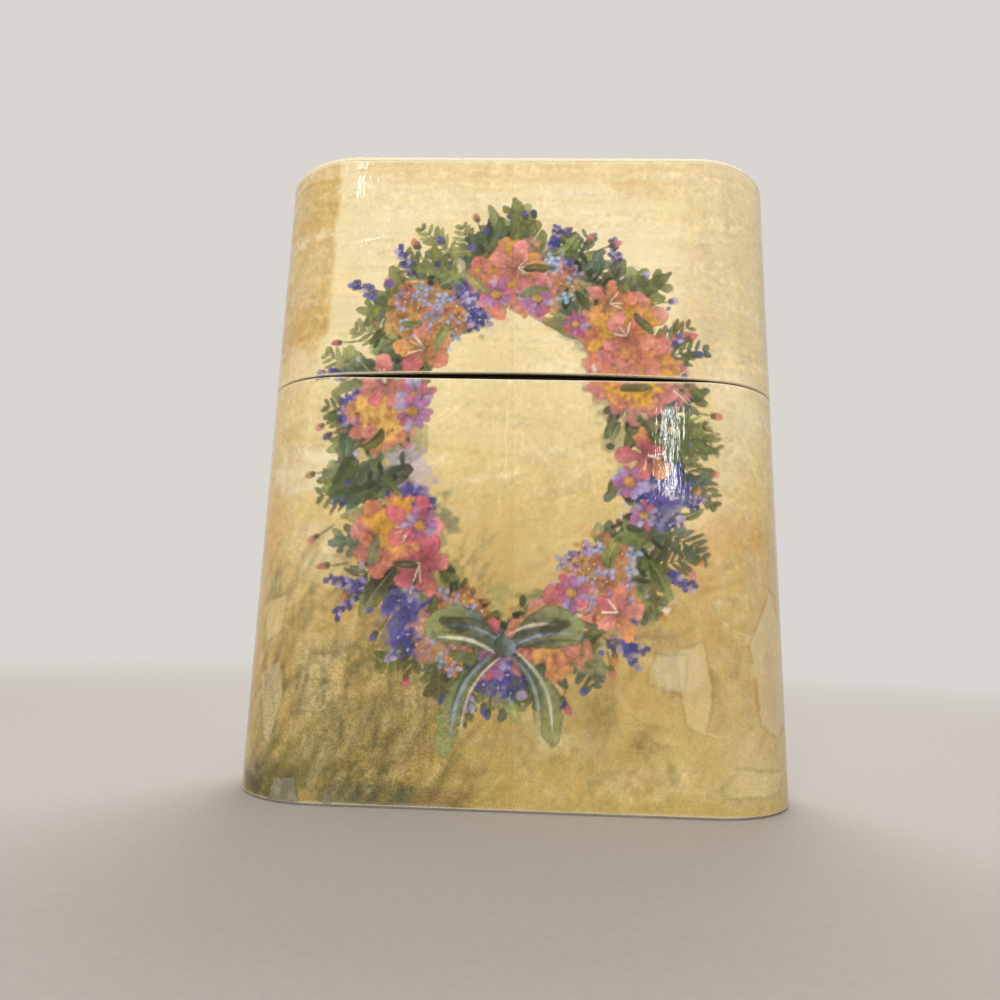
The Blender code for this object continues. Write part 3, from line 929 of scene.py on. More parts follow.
PALE_TONES = (Paint.PALE, Paint.CREAM, Paint.BUTTER, Paint.STRAW, Paint.VELLUM)
WARM_TONES = (Paint.STRAW, Paint.OCHRE, Paint.MUSTARD, Paint.TAN, Paint.BUTTER)
EARTH_TONES = (Paint.MUSTARD, Paint.OCHRE, Paint.UMBER, Paint.MOSS, Paint.STRAW, Paint.BUTTER)
MOSSY_TONES = (Paint.OLIVE, Paint.BUTTER, Paint.UMBER, Paint.STRAW)
ETCHED_TONES = (Paint.UMBER, Paint.MOSS, Paint.DEEP)
FRONT_WASHES = (
    Wash(-38, 86, 9, 22, Paint.OCHRE, 0.95, 0.14, ragged=0.14, corner=6),
    Wash(-34, 78, 4, 9, Paint.PALE, 0.25, 0.5, turn=-0.5),
    Wash(-40, 60, 8, 34, Paint.AMBER, 0.3, 0.7),
    Wash(-22, 80, 9, 16, Paint.PALE, 0.3, 0.6),
    Wash(-8, 95.6, 22, 2.7, Paint.AMBER, 0.22, 0.25, ragged=0.2, corner=6),
    Wash(14, 84, 12, 10, Paint.PALE, 0.3, 0.6),
    Wash(31, 80, 10, 24, Paint.TAN, 0.3, 0.6),
    Wash(19, 94, 6.5, 3.6, Paint.AMBER, 0.3, 0.3, ragged=0.25, corner=4),
    Wash(28, 76, 4.4, 11, Paint.VELLUM, 0.55, 0.35, ragged=0.3, corner=4),
    Wash(26.5, 64, 7.5, 7, Paint.VELLUM, 0.45, 0.6),
    Wash(35, 66, 4.5, 9, Paint.STRAW, 0.35, 0.4, ragged=0.3, corner=3),
    Wash(43, 60, 6, 50, Paint.TAN, 0.55, 0.7),
    Wash(33, 58, 7, 12, Paint.PALE, 0.4, 0.7),
    Wash(24, 42, 12, 9, Paint.PALE, 0.3, 0.7),
    Wash(30, 51, 8, 8, Paint.VELLUM, 0.5, 0.6),
    Wash(31, 37, 11, 6, Paint.AMBER, 0.5, 0.6),
    Wash(-31, 46.5, 9, 4.6, Paint.PALE, 0.6, 0.35, ragged=0.45),
    Wash(-38, 37, 4.5, 8, Paint.AMBER, 0.4, 0.6),
    Wash(-29, 35, 6.5, 4.6, Paint.PALE, 0.45, 0.4, ragged=0.4),
    Wash(-13, 33, 7, 6, Paint.BUTTER, 0.4, 0.7),
    Wash(7, 36, 8, 7, Paint.BUTTER, 0.35, 0.7),
    Wash(27, 27.5, 5, 8, Paint.AMBER, 0.35, 0.6),
    Wash(22.6, 19.2, 3.4, 3.0, Paint.VELLUM, 0.6, 0.3, 0.06, 0.0, 0.3, 4),
    Wash(27.4, 16.6, 1.2, 4.4, Paint.UMBER, 0.3, 0.5, turn=0.12),
    Wash(30.5, 12.5, 3.0, 5.5, Paint.TAN, 0.35, 0.3, 0.06, -0.15, 0.2, 5),
    Wash(32.6, 12.4, 0.8, 2.4, Paint.MOSS, 0.35, 0.6),
    Wash(19.4, 24.2, 2.4, 1.8, Paint.UMBER, 0.22, 0.8),
    Wash(-27, 17, 4.2, 6.5, Paint.BUTTER, 0.55, 0.3, 0.06, 0.0, 0.3, 4),
    Wash(-20, 12, 7.5, 9, Paint.MOSS, 0.34, 0.9),
    Wash(-16, 19, 8, 5, Paint.STRAW, 0.4, 0.8),
    Wash(-30, 6.0, 12, 6.5, Paint.OLIVE, 0.5, 0.8),
    Wash(-34, 2.8, 8, 4.6, Paint.MOSS, 0.8, 0.7),
    Wash(-38, 3, 5, 4.5, Paint.UMBER, 0.5, 0.7),
    Wash(-17, 1.2, 13, 2.4, Paint.GREY_GREEN, 0.7, 0.4, 0.06, ragged=0.4, corner=3),
    Wash(-9.5, 1.4, 5, 2.0, Paint.AMBER, 0.35, 0.6),
    Wash(28, 8, 16, 9, Paint.STRAW, 0.5, 0.8),
    Wash(34, 6, 9, 8, Paint.BUTTER, 0.45, 0.7),
    Wash(11.5, 14, 5, 8, Paint.MOSS, 0.26, 0.9),
    Wash(17, 9, 5, 3.4, Paint.UMBER, 0.16, 0.8, turn=0.7),
    Wash(4, 9, 9, 6, Paint.MOSS, 0.18, 1.0),
)
RIGHT_FLAKE = ((33.0, 22.5), (34.6, 12.0), (38.5, 10.2), (42.4, 13.0), (42.0, 25.5), (38.0, 30.5))
LEFT_FLAKE = ((-38.0, 17.0), (-36.0, 8.0), (-34.2, 7.6), (-32.4, 14.5), (-33.2, 19.6))
FRONT_FLAKES = (
    Flake(RIGHT_FLAKE, Paint.VELLUM, 0.66),
    Flake(((36.5, 31.5), (42.5, 29.0), (43.0, 38.0), (38.6, 36.0)), Paint.TAN, 0.4),
    Flake(((22.4, 21.5), (23.4, 12.0), (26.0, 10.5), (27.0, 16.5), (26.2, 23.2)), Paint.BUTTER, 0.55),
    Flake(((18.2, 17.2), (23.0, 16.0), (23.6, 21.0), (19.5, 21.4)), Paint.VELLUM, 0.5, 0.9),
    Flake(((19.4, 27.6), (20.2, 25.2), (22.4, 27.9)), Paint.PALE, 0.8, 0.3, 0.5, 0.2),
    Flake(((27.0, 3.2), (37.8, 2.6), (40.0, 5.4), (31.0, 6.2)), Paint.BUTTER, 0.45, 0.6),
    Flake(((-38.6, 27.0), (-37.4, 20.8), (-33.6, 23.0), (-32.8, 28.4)), Paint.BUTTER, 0.66),
    Flake(LEFT_FLAKE, Paint.VELLUM, 0.55),
    Flake(((-31.5, 30.0), (-26.0, 28.6), (-24.0, 33.4), (-28.6, 34.2)), Paint.BUTTER, 0.4, 0.7),
    Flake(((-26.4, 18.6), (-24.8, 12.2), (-22.6, 15.0), (-23.2, 20.4)), Paint.STRAW, 0.4, 0.7),
)
FLAKE_SHAPE = ((0.0, 1.0), (1.3, 0.85), (2.7, 1.1), (4.1, 0.8), (5.2, 0.95))
FLAKE_SPOTS = (
    (54, 13), (-56, 24), (67, 72), (-69, 52), (78, 40), (-83, 80), (91, 11), (-90, 20), (-61, 86),
)
FRONT_BRUSHWORK = (
    Brushwork(-44, 44, 60, 98, 0.0, 0.07, 15.0, 1.0, 300, PALE_TONES[:3], 0.36),
    Brushwork(-44, 44, 60, 98, 0.0, 0.04, 9.0, 0.5, 150, (Paint.OCHRE, Paint.AMBER), 0.15),
    Brushwork(-44, 44, 40, 60, 0.1, 0.4, 10.0, 1.6, 150, WARM_TONES + PALE_TONES, 0.28),
    Brushwork(-40, -4, 0, 34, 1.05, 0.35, 6.0, 1.1, 460, EARTH_TONES, 0.36),
    Brushwork(0, 40, 0, 40, 0.4, 1.4, 7.0, 2.0, 260, WARM_TONES, 0.28),
    Brushwork(-38, 38, 2, 34, 0.9, 1.2, 3.6, 1.0, 420, MOSSY_TONES, 0.26),
    Brushwork(-37, -6, 3, 29, 1.57, 0.22, 4.2, 0.42, 150, ETCHED_TONES, 0.42),
    Brushwork(-37, -6, 3, 29, 0.0, 0.3, 3.0, 0.38, 70, ETCHED_TONES, 0.36),
    Brushwork(8, 40, 3, 29, 1.57, 0.6, 2.6, 0.34, 40, ETCHED_TONES, 0.22),
    Brushwork(26, 46, 0, 90, 1.57, 0.1, 14.0, 1.6, 110, (Paint.VELLUM, Paint.TAN, Paint.STRAW)),
    Brushwork(-46, -30, 20, 90, 1.57, 0.15, 14.0, 1.6, 90, (Paint.OCHRE, Paint.STRAW, Paint.TAN)),
)
GRAINS = (
    Wash(0, 20, 96, 26, Paint.UMBER, 0.16, 0.8),
    Wash(0, 76, 96, 26, Paint.OCHRE, 0.14, 0.8),
    Wash(-20, 15, 14, 15, Paint.MOSS, 0.44, 0.7),
    Wash(-14, 24, 8, 7, Paint.DEEP, 0.3, 0.8),
    Wash(11.5, 13.5, 4.6, 8, Paint.UMBER, 0.32, 0.9),
    Wash(17, 9, 5, 4, Paint.UMBER, 0.5, 0.8),
    Wash(18, 24, 8, 4, Paint.UMBER, 0.35, 0.8),
    Wash(-20, 3, 16, 4, Paint.NIGHT, 0.42, 0.8),
    Wash(-36, 3, 7, 4.5, Paint.NIGHT, 0.5, 0.8),
)


@dataclass
class Painting:
    """Lays out the whole print: ground washes, wreath, loose sprigs, creases, worn edges and painted
    highlights on crests and edges.
    """

    canvas: Canvas
    seam: float

    def ground(self) -> None:
        """Lays the cream and ochre washes and the brush marks over them."""
        canvas = self.canvas
        canvas.lay_ground(
            (
                (0.0, Paint.MUSTARD), (24.0, Paint.OCHRE), (40.0, Paint.STRAW),
                (52.0, Paint.BUTTER), (64.0, Paint.CREAM), (98.0, Paint.CREAM),
            )
        )
        for lay, layers in (
            (canvas.lay_wash, self.washes()),
            (canvas.brush, self.brushwork()),
            (canvas.lay_flake, self.flakes()),
            (canvas.settle, GRAINS),
        ):
            for layer in layers:
                lay(layer)

    @staticmethod
    def washes() -> list[Wash]:
        """The washes, broad ones on the ends first."""
        ends = []
        for side in (-1, 1):
            ends += [
                Wash(side * 66, 30, 22, 26, Paint.OCHRE, 0.6, 0.8),
                Wash(side * 76, 76, 26, 20, Paint.STRAW, 0.6, 0.8),
                Wash(side * 92, 44, 16, 30, Paint.MUSTARD, 0.5, 0.8),
            ]
        return [*ends, *FRONT_WASHES]

    @staticmethod
    def flakes() -> list[Flake]:
        """Pale patches with torn edges over the brush marks, in front and then all round."""
        made = list(FRONT_FLAKES)
        for i, middle in enumerate(FLAKE_SPOTS):
            size = 4.2 + 1.1 * (i % 3)
            corners = (polar((0.0, 0.0), 1.9 * i + turn, size * far) for turn, far in FLAKE_SHAPE)
            placed = tuple((middle[0] + across, middle[1] + 1.3 * up) for across, up in corners)
            tone = Paint.PALE if middle[1] > 50 else Paint.VELLUM
            made.append(Flake(placed, tone, 0.36, 0.6, 1.6))
        return made

    @staticmethod
    def brushwork() -> list[Brushwork]:
        """The brush marks: level on the lid, slanted at the lower left, upright at the right."""
        fields = list(FRONT_BRUSHWORK)
        for side in (-1, 1):
            left, right = sorted((side * 46, side * 98))
            fields.append(Brushwork(left, right, 0, 50, 0.6, 1.5, 13.0, 2.6, 190, WARM_TONES, 0.26))
            fields.append(Brushwork(left, right, 50, 98, 0.1, 0.3, 15.0, 1.8, 190, PALE_TONES, 0.28))
        return fields

    def flowers(self) -> None:
        """Paints the wreath on the front and loose sprigs on the ends and the back."""
        florist = Florist(self.canvas)
        wreath = Wreath(florist, -0.8, 50.5, 19.0, 27.5)
        wreath.greenery()
        wreath.bloom()
        florist.ribbon((-1.4, 21.5), 11.5)
        for i, arc in enumerate((60, 75, 90)):
            for height in (14, 40, 64, 88):
                for side in (-1, 1):
                    florist.sprig(side * arc, height - 12 * (i % 2))

    def soften(self) -> None:
        """Shows the tooth of the paper through all the paint, most at the lower left."""
        canvas = self.canvas
        canvas.show_tooth()
        low = smooth((36 - canvas.up) / 28)[:, None]
        left = smooth((6 - canvas.across) / 22) * smooth((canvas.across + 62) / 20)
        canvas.marks[Mark.GRAIN] += 0.16 + 0.84 * low * (0.3 + 0.7 * left[None, :])

    def relief(self) -> None:
        """Lets the paper rise, dip and crease a little, as hand-glued sheets do, with painted highlights
        along the crests.
        """
        canvas = self.canvas
        wavy = 0.030 * (canvas.cloud(9.0, 15.0) - 0.5) + 0.012 * (canvas.cloud(2.6, 5.0) - 0.5)
        front = (
            (-1.9, 56.6), (-1.7, 54.2), (-2.1, 52.0), (-1.75, 49.6), (-1.95, 47.4), (-1.7, 45.4),
        )
        # Each crease: its line, rise, half width and how pale the painted highlight on its crest is.
        for line, rise, width, pale in (
            (front, 0.08, 0.13, 0.8),
            ([(x - 0.6, z - 9.4) for x, z in front[1:4]], 0.05, 0.16, 0.35),
            (((22.6, 59.4), (23.7, 58.5), (24.8, 57.3)), -0.06, 0.14, 0.9),
            (((-33.0, 95.0), (-27.0, 95.3), (-20.0, 95.1)), -0.03, 0.35, 0.0),
            (((28.4, 3.1), (31.0, 2.9), (34.5, 3.1)), 0.05, 0.22, 0.15),
            (((37.6, 3.4), (38.4, 5.0), (38.2, 7.4)), -0.06, 0.3, 0.0),
        ):
            canvas.crease(line, rise, width, pale)
        # Short wrinkles: a ridge with a faint painted highlight on its crest, and a dent beside it.
        for line in (
            ((27.8, 26.5), (30.6, 24.7), (32.9, 24.0)),
            ((26.7, 20.1), (29.4, 18.3), (31.8, 17.5)),
            ((18.6, 20.6), (19.9, 19.0), (21.5, 18.0)),
            ((25.9, 11.2), (27.6, 10.6), (29.0, 10.5)),
        ):
            canvas.crease(line, 0.045, 0.2, 0.22)
            canvas.crease([(x + 0.2, z - 0.45) for x, z in line], -0.04, 0.2, 0.0)
        for i in range(7):
            base = -34.0 + 2.6 * i
            height = 58.0 + 4.1 * ((5 * i) % 9)
            line = ((base, height), (base + 4.5, height + 1.1), (base + 9.0, height + 0.4))
            canvas.crease(line, 0.022, 0.4, 0.0)
        canvas.marks[Mark.RELIEF] += wavy

    def wear(self) -> None:
        """Rubs the edges at the seam, the foot and the top down to pale paper; along the seam the pale line
        is also a painted highlight of the rounded edge.
        """
        canvas = self.canvas
        up = canvas.up[:, None]
        rub = canvas.cloud(1.4, 0.6) * (0.4 + 0.9 * canvas.cloud(7.0, 3.0))
        wear = canvas.marks[Mark.WEAR]
        # Along the seam the pale paper is worn paper and a painted highlight of the rounded edge.
        near_seam = np.exp(-(((up - self.seam) / 0.42) ** 2)) * smooth((rub - 0.18) / 0.3)
        near_foot = np.exp(-((up / 0.45) ** 2)) * smooth((rub - 0.12) / 0.3)
        near_top = smooth((up - 96.9) / 0.5) * smooth((rub - 0.10) / 0.3)
        for edge in (near_seam, near_foot, near_top):
            np.maximum(wear, 0.9 * edge, out=wear)
        fleck = np.exp(-(((canvas.across[None, :] + 1.6) / 0.35) ** 2) - ((up - 60.4) / 0.6) ** 2)
        np.maximum(wear, fleck, out=wear)

    def finish(self) -> Canvas:
        """Paints everything in order.

        Returns:
            The finished canvas.
        """
        for step in (self.ground, self.flowers, self.soften, self.relief, self.wear):
            step()
        return self.canvas


@dataclass
class TopPainting:
    """Paints the ground of the lid's top, in the tones of its sides."""

    canvas: Canvas

    def finish(self) -> Canvas:
        """Lays washes and level brush marks.

        Returns:
            The finished canvas.
        """
        canvas = self.canvas
        canvas.lay_ground(
            ((0.0, Paint.STRAW), (9.0, Paint.BUTTER), (20.0, Paint.BUTTER), (29.0, Paint.STRAW))
        )
        for wash in (
            Wash(-35, 14, 9, 15, Paint.OCHRE, 0.75, 0.3, 0.05, ragged=0.3, corner=4),
            Wash(-12, 17, 14, 7, Paint.CREAM, 0.5, 0.6),
            Wash(13, 9, 13, 6, Paint.PALE, 0.4, 0.6),
            Wash(4, 24, 12, 4, Paint.AMBER, 0.3, 0.5),
            Wash(25, 20, 5, 7, Paint.VELLUM, 0.6, 0.15, 0.08, 0.1, 0.2, 5),
            Wash(35, 13, 7, 14, Paint.TAN, 0.5, 0.6),
        ):
            canvas.lay_wash(wash)
        pale = (Paint.CREAM, Paint.BUTTER, Paint.PALE, Paint.STRAW)
        canvas.brush(Brushwork(-40, 40, 0, 29, 0.0, 0.12, 13.0, 1.2, 170, pale, 0.3))
        canvas.brush(Brushwork(-40, 40, 0, 29, 0.0, 0.08, 8.0, 0.6, 90, (Paint.OCHRE, Paint.AMBER), 0.18))
        canvas.settle(Wash(0, 14, 44, 18, Paint.UMBER, 0.16, 0.8))
        canvas.show_tooth()
        return canvas


# Node groups and finishes


class NodeBench:
    """Adds and joins the nodes of one tree."""

    def __init__(self, tree: bpy.types.NodeTree) -> None:
        """Takes the tree to work on."""
        self.tree = tree

    def add(self, kind: str, **settings: object) -> Node:
        """Adds a node and sets its own settings."""
        node = self.tree.nodes.new(kind)
        node.location = (180.0 * (len(self.tree.nodes) % 9), -220.0 * (len(self.tree.nodes) // 9))
        for name, value in settings.items():
            setattr(node, name, value)
        return node

    def feed(self, target: Socket, source: object) -> None:
        """Links a socket, or sets it where a plain value is given."""
        if isinstance(source, Socket):
            self.tree.links.new(source, target)
        else:
            target.default_value = source

    def filled(self, kind: str, values: Mapping[object, object], **settings: object) -> Socket:
        """Adds a node with its inputs filled.

        Args:
            kind: Kind of the node.
            values: Sockets or plain values, by the name or the number of the input.
            settings: The node's own settings.

        Returns:
            Its first output that is switched on.
        """
        node = self.add(kind, **settings)
        for key, value in values.items():
            self.feed(node.inputs[key], value)
        return next(socket for socket in node.outputs if socket.enabled)

    def math(self, operation: str, *values: object) -> Socket:
        """Adds a Math node."""
        return self.filled("ShaderNodeMath", dict(enumerate(values)), operation=operation)

    def scaled(self, value: object, factor: object, offset: object = None) -> Socket:
        """A value times a factor, plus an offset where one is given."""
        if offset is None:
            return self.math("MULTIPLY", value, factor)
        return self.math("MULTIPLY_ADD", value, factor, offset)

    def mix(self, blend: str, share: object, under: object, over: object) -> Socket:
        """Mixes two colours."""
        values = {0: share, 6: under, 7: over}
        return self.filled("ShaderNodeMix", values, data_type="RGBA", blend_type=blend)

    def stretch(self, vector: object, scale: Sequence[float]) -> Socket:
        """Scales a place, more along some axes than others."""
        return self.filled("ShaderNodeMapping", {"Vector": vector, "Scale": scale})

    def noise(self, vector: object, scale: object, detail: float = 3.0, rough: float = 0.5) -> Socket:
        """Adds a Noise texture."""
        values = {"Vector": vector, "Scale": scale, "Detail": detail, "Roughness": rough}
        return self.filled("ShaderNodeTexNoise", values)

    def span(
        self, value: object, low: float, high: float, to_low: float = 0.0, to_high: float = 1.0
    ) -> Socket:
        """Maps a range onto another, eased and held at its ends."""
        values = dict(enumerate((value, low, high, to_low, to_high)))
        return self.filled("ShaderNodeMapRange", values, interpolation_type="SMOOTHSTEP")

    def place(self) -> Socket:
        """Object coordinates in millimetres."""
        coordinates = self.add("ShaderNodeTexCoord")
        return self.stretch(coordinates.outputs["Object"], (PER_METRE,) * 3)


def open_group(name: str, takes: Mapping[str, float], gives: Sequence[str]) -> tuple[NodeBench, Node, Node]:
    """Starts a shader node group that takes a place, called Vector, and some numbers.

    Args:
        name: Name of the group.
        takes: Default of each number, by its name.
        gives: Names of its outputs, all single values.

    Returns:
        A bench for the group, its input node and its output node.
    """
    group = bpy.data.node_groups.new(name, "ShaderNodeTree")
    group.interface.new_socket(name="Vector", in_out="INPUT", socket_type="NodeSocketVector")
    for title, default in takes.items():
        socket = group.interface.new_socket(name=title, in_out="INPUT", socket_type="NodeSocketFloat")
        socket.default_value = default
    for title in gives:
        group.interface.new_socket(name=title, in_out="OUTPUT", socket_type="NodeSocketFloat")
    bench = NodeBench(group)
    return bench, bench.add("NodeGroupInput"), bench.add("NodeGroupOutput")


def build_grain(name: str) -> None:
    """Tooth of paper: fine fibres and pigment that settles in them."""
    bench, given, result = open_group(name, {"Size": 1.0, "Strength": 0.1}, ("Tone", "Height"))
    vector = given.outputs["Vector"]
    scale = bench.math("DIVIDE", 1.0, given.outputs["Size"])
    tooth = bench.noise(vector, bench.scaled(scale, 2.6), 4.0, 0.62)
    fibre = bench.noise(bench.stretch(vector, (1.0, 1.0, 0.22)), bench.scaled(scale, 4.2), 2.0)
    bare = bench.math("SUBTRACT", 1.0, bench.span(tooth, 0.36, 0.57))
    dark = bench.scaled(bare, given.outputs["Strength"])
    bench.feed(result.inputs["Tone"], bench.math("SUBTRACT", 1.0, dark))
    bench.feed(result.inputs["Height"], bench.scaled(fibre, 0.35, bench.scaled(tooth, 0.8)))


def build_streaks(name: str) -> None:
    """Long parallel streaks of a brush, a roll or a die, along the vector's tight axis."""
    bench, given, result = open_group(name, {"Size": 1.0}, ("Streak",))
    vector = given.outputs["Vector"]
    scale = bench.math("DIVIDE", 1.0, given.outputs["Size"])
    broad = bench.noise(vector, scale, 2.0)
    fine = bench.noise(vector, bench.scaled(scale, 3.7), 2.0)
    bench.feed(result.inputs["Streak"], bench.scaled(fine, 0.45, bench.scaled(broad, 0.55)))


def build_smudges(name: str) -> None:
    """Patches where hands have dulled or soiled a surface."""
    bench, given, result = open_group(name, {"Size": 10.0, "Spread": 0.5}, ("Mask",))
    scale = bench.math("DIVIDE", 1.0, given.outputs["Size"])
    cloud = bench.noise(given.outputs["Vector"], scale, 5.0, 0.6)
    start = bench.math("SUBTRACT", 0.75, bench.scaled(given.outputs["Spread"], 0.5))
    mask = bench.scaled(bench.math("SUBTRACT", cloud, start), 4.0)
    held = bench.math("MINIMUM", bench.math("MAXIMUM", mask, 0.0), 1.0)
    bench.feed(result.inputs["Mask"], held)


class Effect(Enum):
    """Shared node groups, each built once."""

    GRAIN = ("paper_grain", build_grain)
    STREAKS = ("long_streaks", build_streaks)
    SMUDGES = ("smudges", build_smudges)

    def use(self, bench: NodeBench, **values: object) -> Node:
        """Places the group in a material, and builds it at its first use.

        Args:
            bench: Bench of the material.
            values: Inputs by name, in lower case.

        Returns:
            The group's node.
        """
        name, build = self.value
        if name not in bpy.data.node_groups:
            build(name)
        node = bench.add("ShaderNodeGroup", node_tree=bpy.data.node_groups[name])
        for title, value in values.items():
            bench.feed(node.inputs[title.capitalize()], value)
        return node


def dress(piece: Piece, finish: Material) -> None:
    """Gives a piece one finish all over."""
    piece.data.materials.clear()
    piece.data.materials.append(finish)


def raise_bump(bench: NodeBench, shader: Node, height: object, depth: float) -> None:
    """Feeds a height to the shader's normal.

    Args:
        bench: Bench of the material.
        shader: Its Principled shader.
        height: Height from 0 to 1.
        depth: Depth of a full step, in metres.
    """
    values = {"Strength": 1.0, "Distance": depth, "Height": height}
    bench.feed(shader.inputs["Normal"], bench.filled("ShaderNodeBump", values))


@dataclass(frozen=True)
class Finish:
    """A finish, which is one material of a given name."""

    name: str

    def lay(self, bench: NodeBench, shader: Node, place: Socket) -> None:
        """Lays the nodes between the place on the piece and its shader.

        Args:
            bench: Bench of the material.
            shader: Its Principled shader.
            place: Object coordinates in millimetres.
        """
        raise NotImplementedError

    def make(self) -> Material:
        """Builds the material.

        Returns:
            The material.
        """
        made = bpy.data.materials.new(self.name)
        made.use_nodes = True
        bench = NodeBench(made.node_tree)
        self.lay(bench, made.node_tree.nodes["Principled BSDF"], bench.place())
        return made


@dataclass(frozen=True)
class VarnishedPrint(Finish):
    """Printed paper under a brushed glossy varnish."""

    core_and_highlight: str = "f1e6c4"
    gloss: float = 0.034
    bump: float = 0.0105 * MM
    sheen: float = 0.36
    grain: float = 0.36
    grain_size: float = 0.70
    smudge_size: float = 13.0

    def lay(self, bench: NodeBench, shader: Node, place: Socket) -> None:
        """Tones the painting by its grain, turns it to pale paper core where worn and where highlights are
        painted, and varnishes it.
        """
        parts = bench.add("ShaderNodeSeparateColor")
        bench.feed(parts.inputs[0], bench.filled("ShaderNodeVertexColor", {}, layer_name="marks"))
        wear, settled = parts.outputs[0], parts.outputs[1]
        colour = bench.filled("ShaderNodeVertexColor", {}, layer_name="painting")
        strength = bench.scaled(settled, self.grain)
        grain = Effect.GRAIN.use(bench, vector=place, size=self.grain_size, strength=strength)
        veil = Effect.STREAKS.use(bench, vector=bench.stretch(place, (1.0, 1.0, 0.06)), size=1.9)
        toned = bench.mix("MULTIPLY", 1.0, colour, grain.outputs["Tone"])
        level = bench.span(veil.outputs["Streak"], 0.3, 0.7, 0.35, 0.65)
        streaked = bench.mix("OVERLAY", 0.10, toned, level)
        # Share of pale paper core: worn paper, and painted highlights on crease crests and rounded edges.
        paler = bench.scaled(wear, bench.span(grain.outputs["Height"], 0.42, 0.60, 0.55, 1.0))
        bench.feed(shader.inputs["Base Color"], bench.mix("MIX", paler, streaked, rgba(self.core_and_highlight)))
        shader.inputs["Specular IOR Level"].default_value = self.sheen
        smudge = Effect.SMUDGES.use(bench, vector=place, size=self.smudge_size, spread=0.5)
        dull = bench.scaled(smudge.outputs["Mask"], 0.025, self.gloss)
        bench.feed(shader.inputs["Roughness"], bench.scaled(paler, 0.25, dull))
        ripple = bench.noise(bench.stretch(place, (1.0, 1.0, 0.20)), 1.7, 2.0)
        tooth = bench.scaled(grain.outputs["Height"], 0.12)
        height = bench.scaled(veil.outputs["Streak"], 0.5, tooth)
        raise_bump(bench, shader, bench.math("ADD", ripple, height), self.bump)


@dataclass(frozen=True)
class ScrapPaper(Finish):
    """Bare grey paper that shows where the print has come away."""

    light: str = "9b957c"
    dark: str = "7f795f"
    bump: float = 0.05 * MM

    def lay(self, bench: NodeBench, shader: Node, place: Socket) -> None:
        """Mottles two greys under the paper's grain."""
        grain = Effect.GRAIN.use(bench, vector=place, size=0.4, strength=0.22)
        cloud = bench.span(bench.noise(place, 0.7, 4.0), 0.4, 0.62)
        colour = bench.mix("MIX", cloud, rgba(self.dark), rgba(self.light))
        bench.feed(shader.inputs["Base Color"], bench.mix("MULTIPLY", 1.0, colour, grain.outputs["Tone"]))
        bench.feed(shader.inputs["Roughness"], bench.scaled(cloud, 0.12, 0.42))
        raise_bump(bench, shader, grain.outputs["Height"], self.bump)


class Direction(Enum):
    """Which way the marks of a metal's making run."""

    UPRIGHT = (1.0, 1.0, 0.03)
    ROUND = (0.03, 0.03, 1.0)
    ACROSS = (0.02, 1.0, 1.0)


@dataclass(frozen=True)
class BareMetal(Finish):
    """Bare tinplate or wire, with its making marks, stains and handling."""

    colour: str
    stain: str
    marks: Direction
    roughness: float = 0.30
    streak_size: float = 0.35
    stained: float = 0.35
    bump: float = 0.012 * MM

    def lay(self, bench: NodeBench, shader: Node, place: Socket) -> None:
        """Streaks and spangles the metal, and stains it where it was handled."""
        run = bench.stretch(place, self.marks.value)
        streak = Effect.STREAKS.use(bench, vector=run, size=self.streak_size).outputs["Streak"]
        smudge = Effect.SMUDGES.use(bench, vector=place, size=9.0, spread=0.55).outputs["Mask"]
        cells = bench.add("ShaderNodeTexVoronoi")
        bench.feed(cells.inputs["Vector"], place)
        bench.feed(cells.inputs["Scale"], 0.32)
        spangle = bench.span(cells.outputs["Color"], 0.0, 1.0, 0.95, 1.04)
        tone = bench.scaled(bench.span(streak, 0.3, 0.7, 0.86, 1.06), spangle)
        bright = bench.mix("MULTIPLY", 1.0, rgba(self.colour), tone)
        share = bench.scaled(smudge, self.stained)
        bench.feed(shader.inputs["Base Color"], bench.mix("MIX", share, bright, rgba(self.stain)))
        shader.inputs["Metallic"].default_value = 1.0
        rough = bench.scaled(smudge, 0.16, self.roughness)
        bench.feed(shader.inputs["Roughness"], bench.scaled(streak, 0.10, rough))
        raise_bump(bench, shader, streak, self.bump)


@dataclass(frozen=True)
class DarkLacquerAndShade(Finish):
    """Thin black-brown lacquer, worn to bright metal along the collar's rim. Its near-black colour is also
    painted shade for the slit at the seam.
    """

    rim: float
    # Near-black: the lacquer's colour and painted shade for the slit at the seam.
    colour: str = "1d1813"
    paler: str = "2b241c"
    metal: str = "cfcdc6"
    bump: float = 0.012 * MM

    def lay(self, bench: NodeBench, shader: Node, place: Socket) -> None:
        """Rubs the lacquer in upright lines and wears its rim through."""
        parts = bench.add("ShaderNodeSeparateXYZ")
        bench.feed(parts.inputs[0], place)
        scuff = bench.noise(bench.stretch(place, (1.0, 1.0, 2.4)), 1.3, 4.0, 0.6)
        top = self.rim * PER_METRE
        near_rim = bench.span(parts.outputs["Z"], top - 0.5, top)
        worn = bench.span(bench.scaled(near_rim, scuff), 0.30, 0.72, 0.0, 0.8)
        run = bench.stretch(place, Direction.UPRIGHT.value)
        rubs = Effect.STREAKS.use(bench, vector=run, size=0.5).outputs["Streak"]
        body = bench.mix("MIX", bench.span(rubs, 0.42, 0.66), rgba(self.colour), rgba(self.paler))
        bench.feed(shader.inputs["Base Color"], bench.mix("MIX", worn, body, rgba(self.metal)))
        bench.feed(shader.inputs["Metallic"], worn)
        bench.feed(shader.inputs["Roughness"], bench.scaled(rubs, 0.2, 0.3))
        raise_bump(bench, shader, bench.math("ADD", rubs, scuff), self.bump)


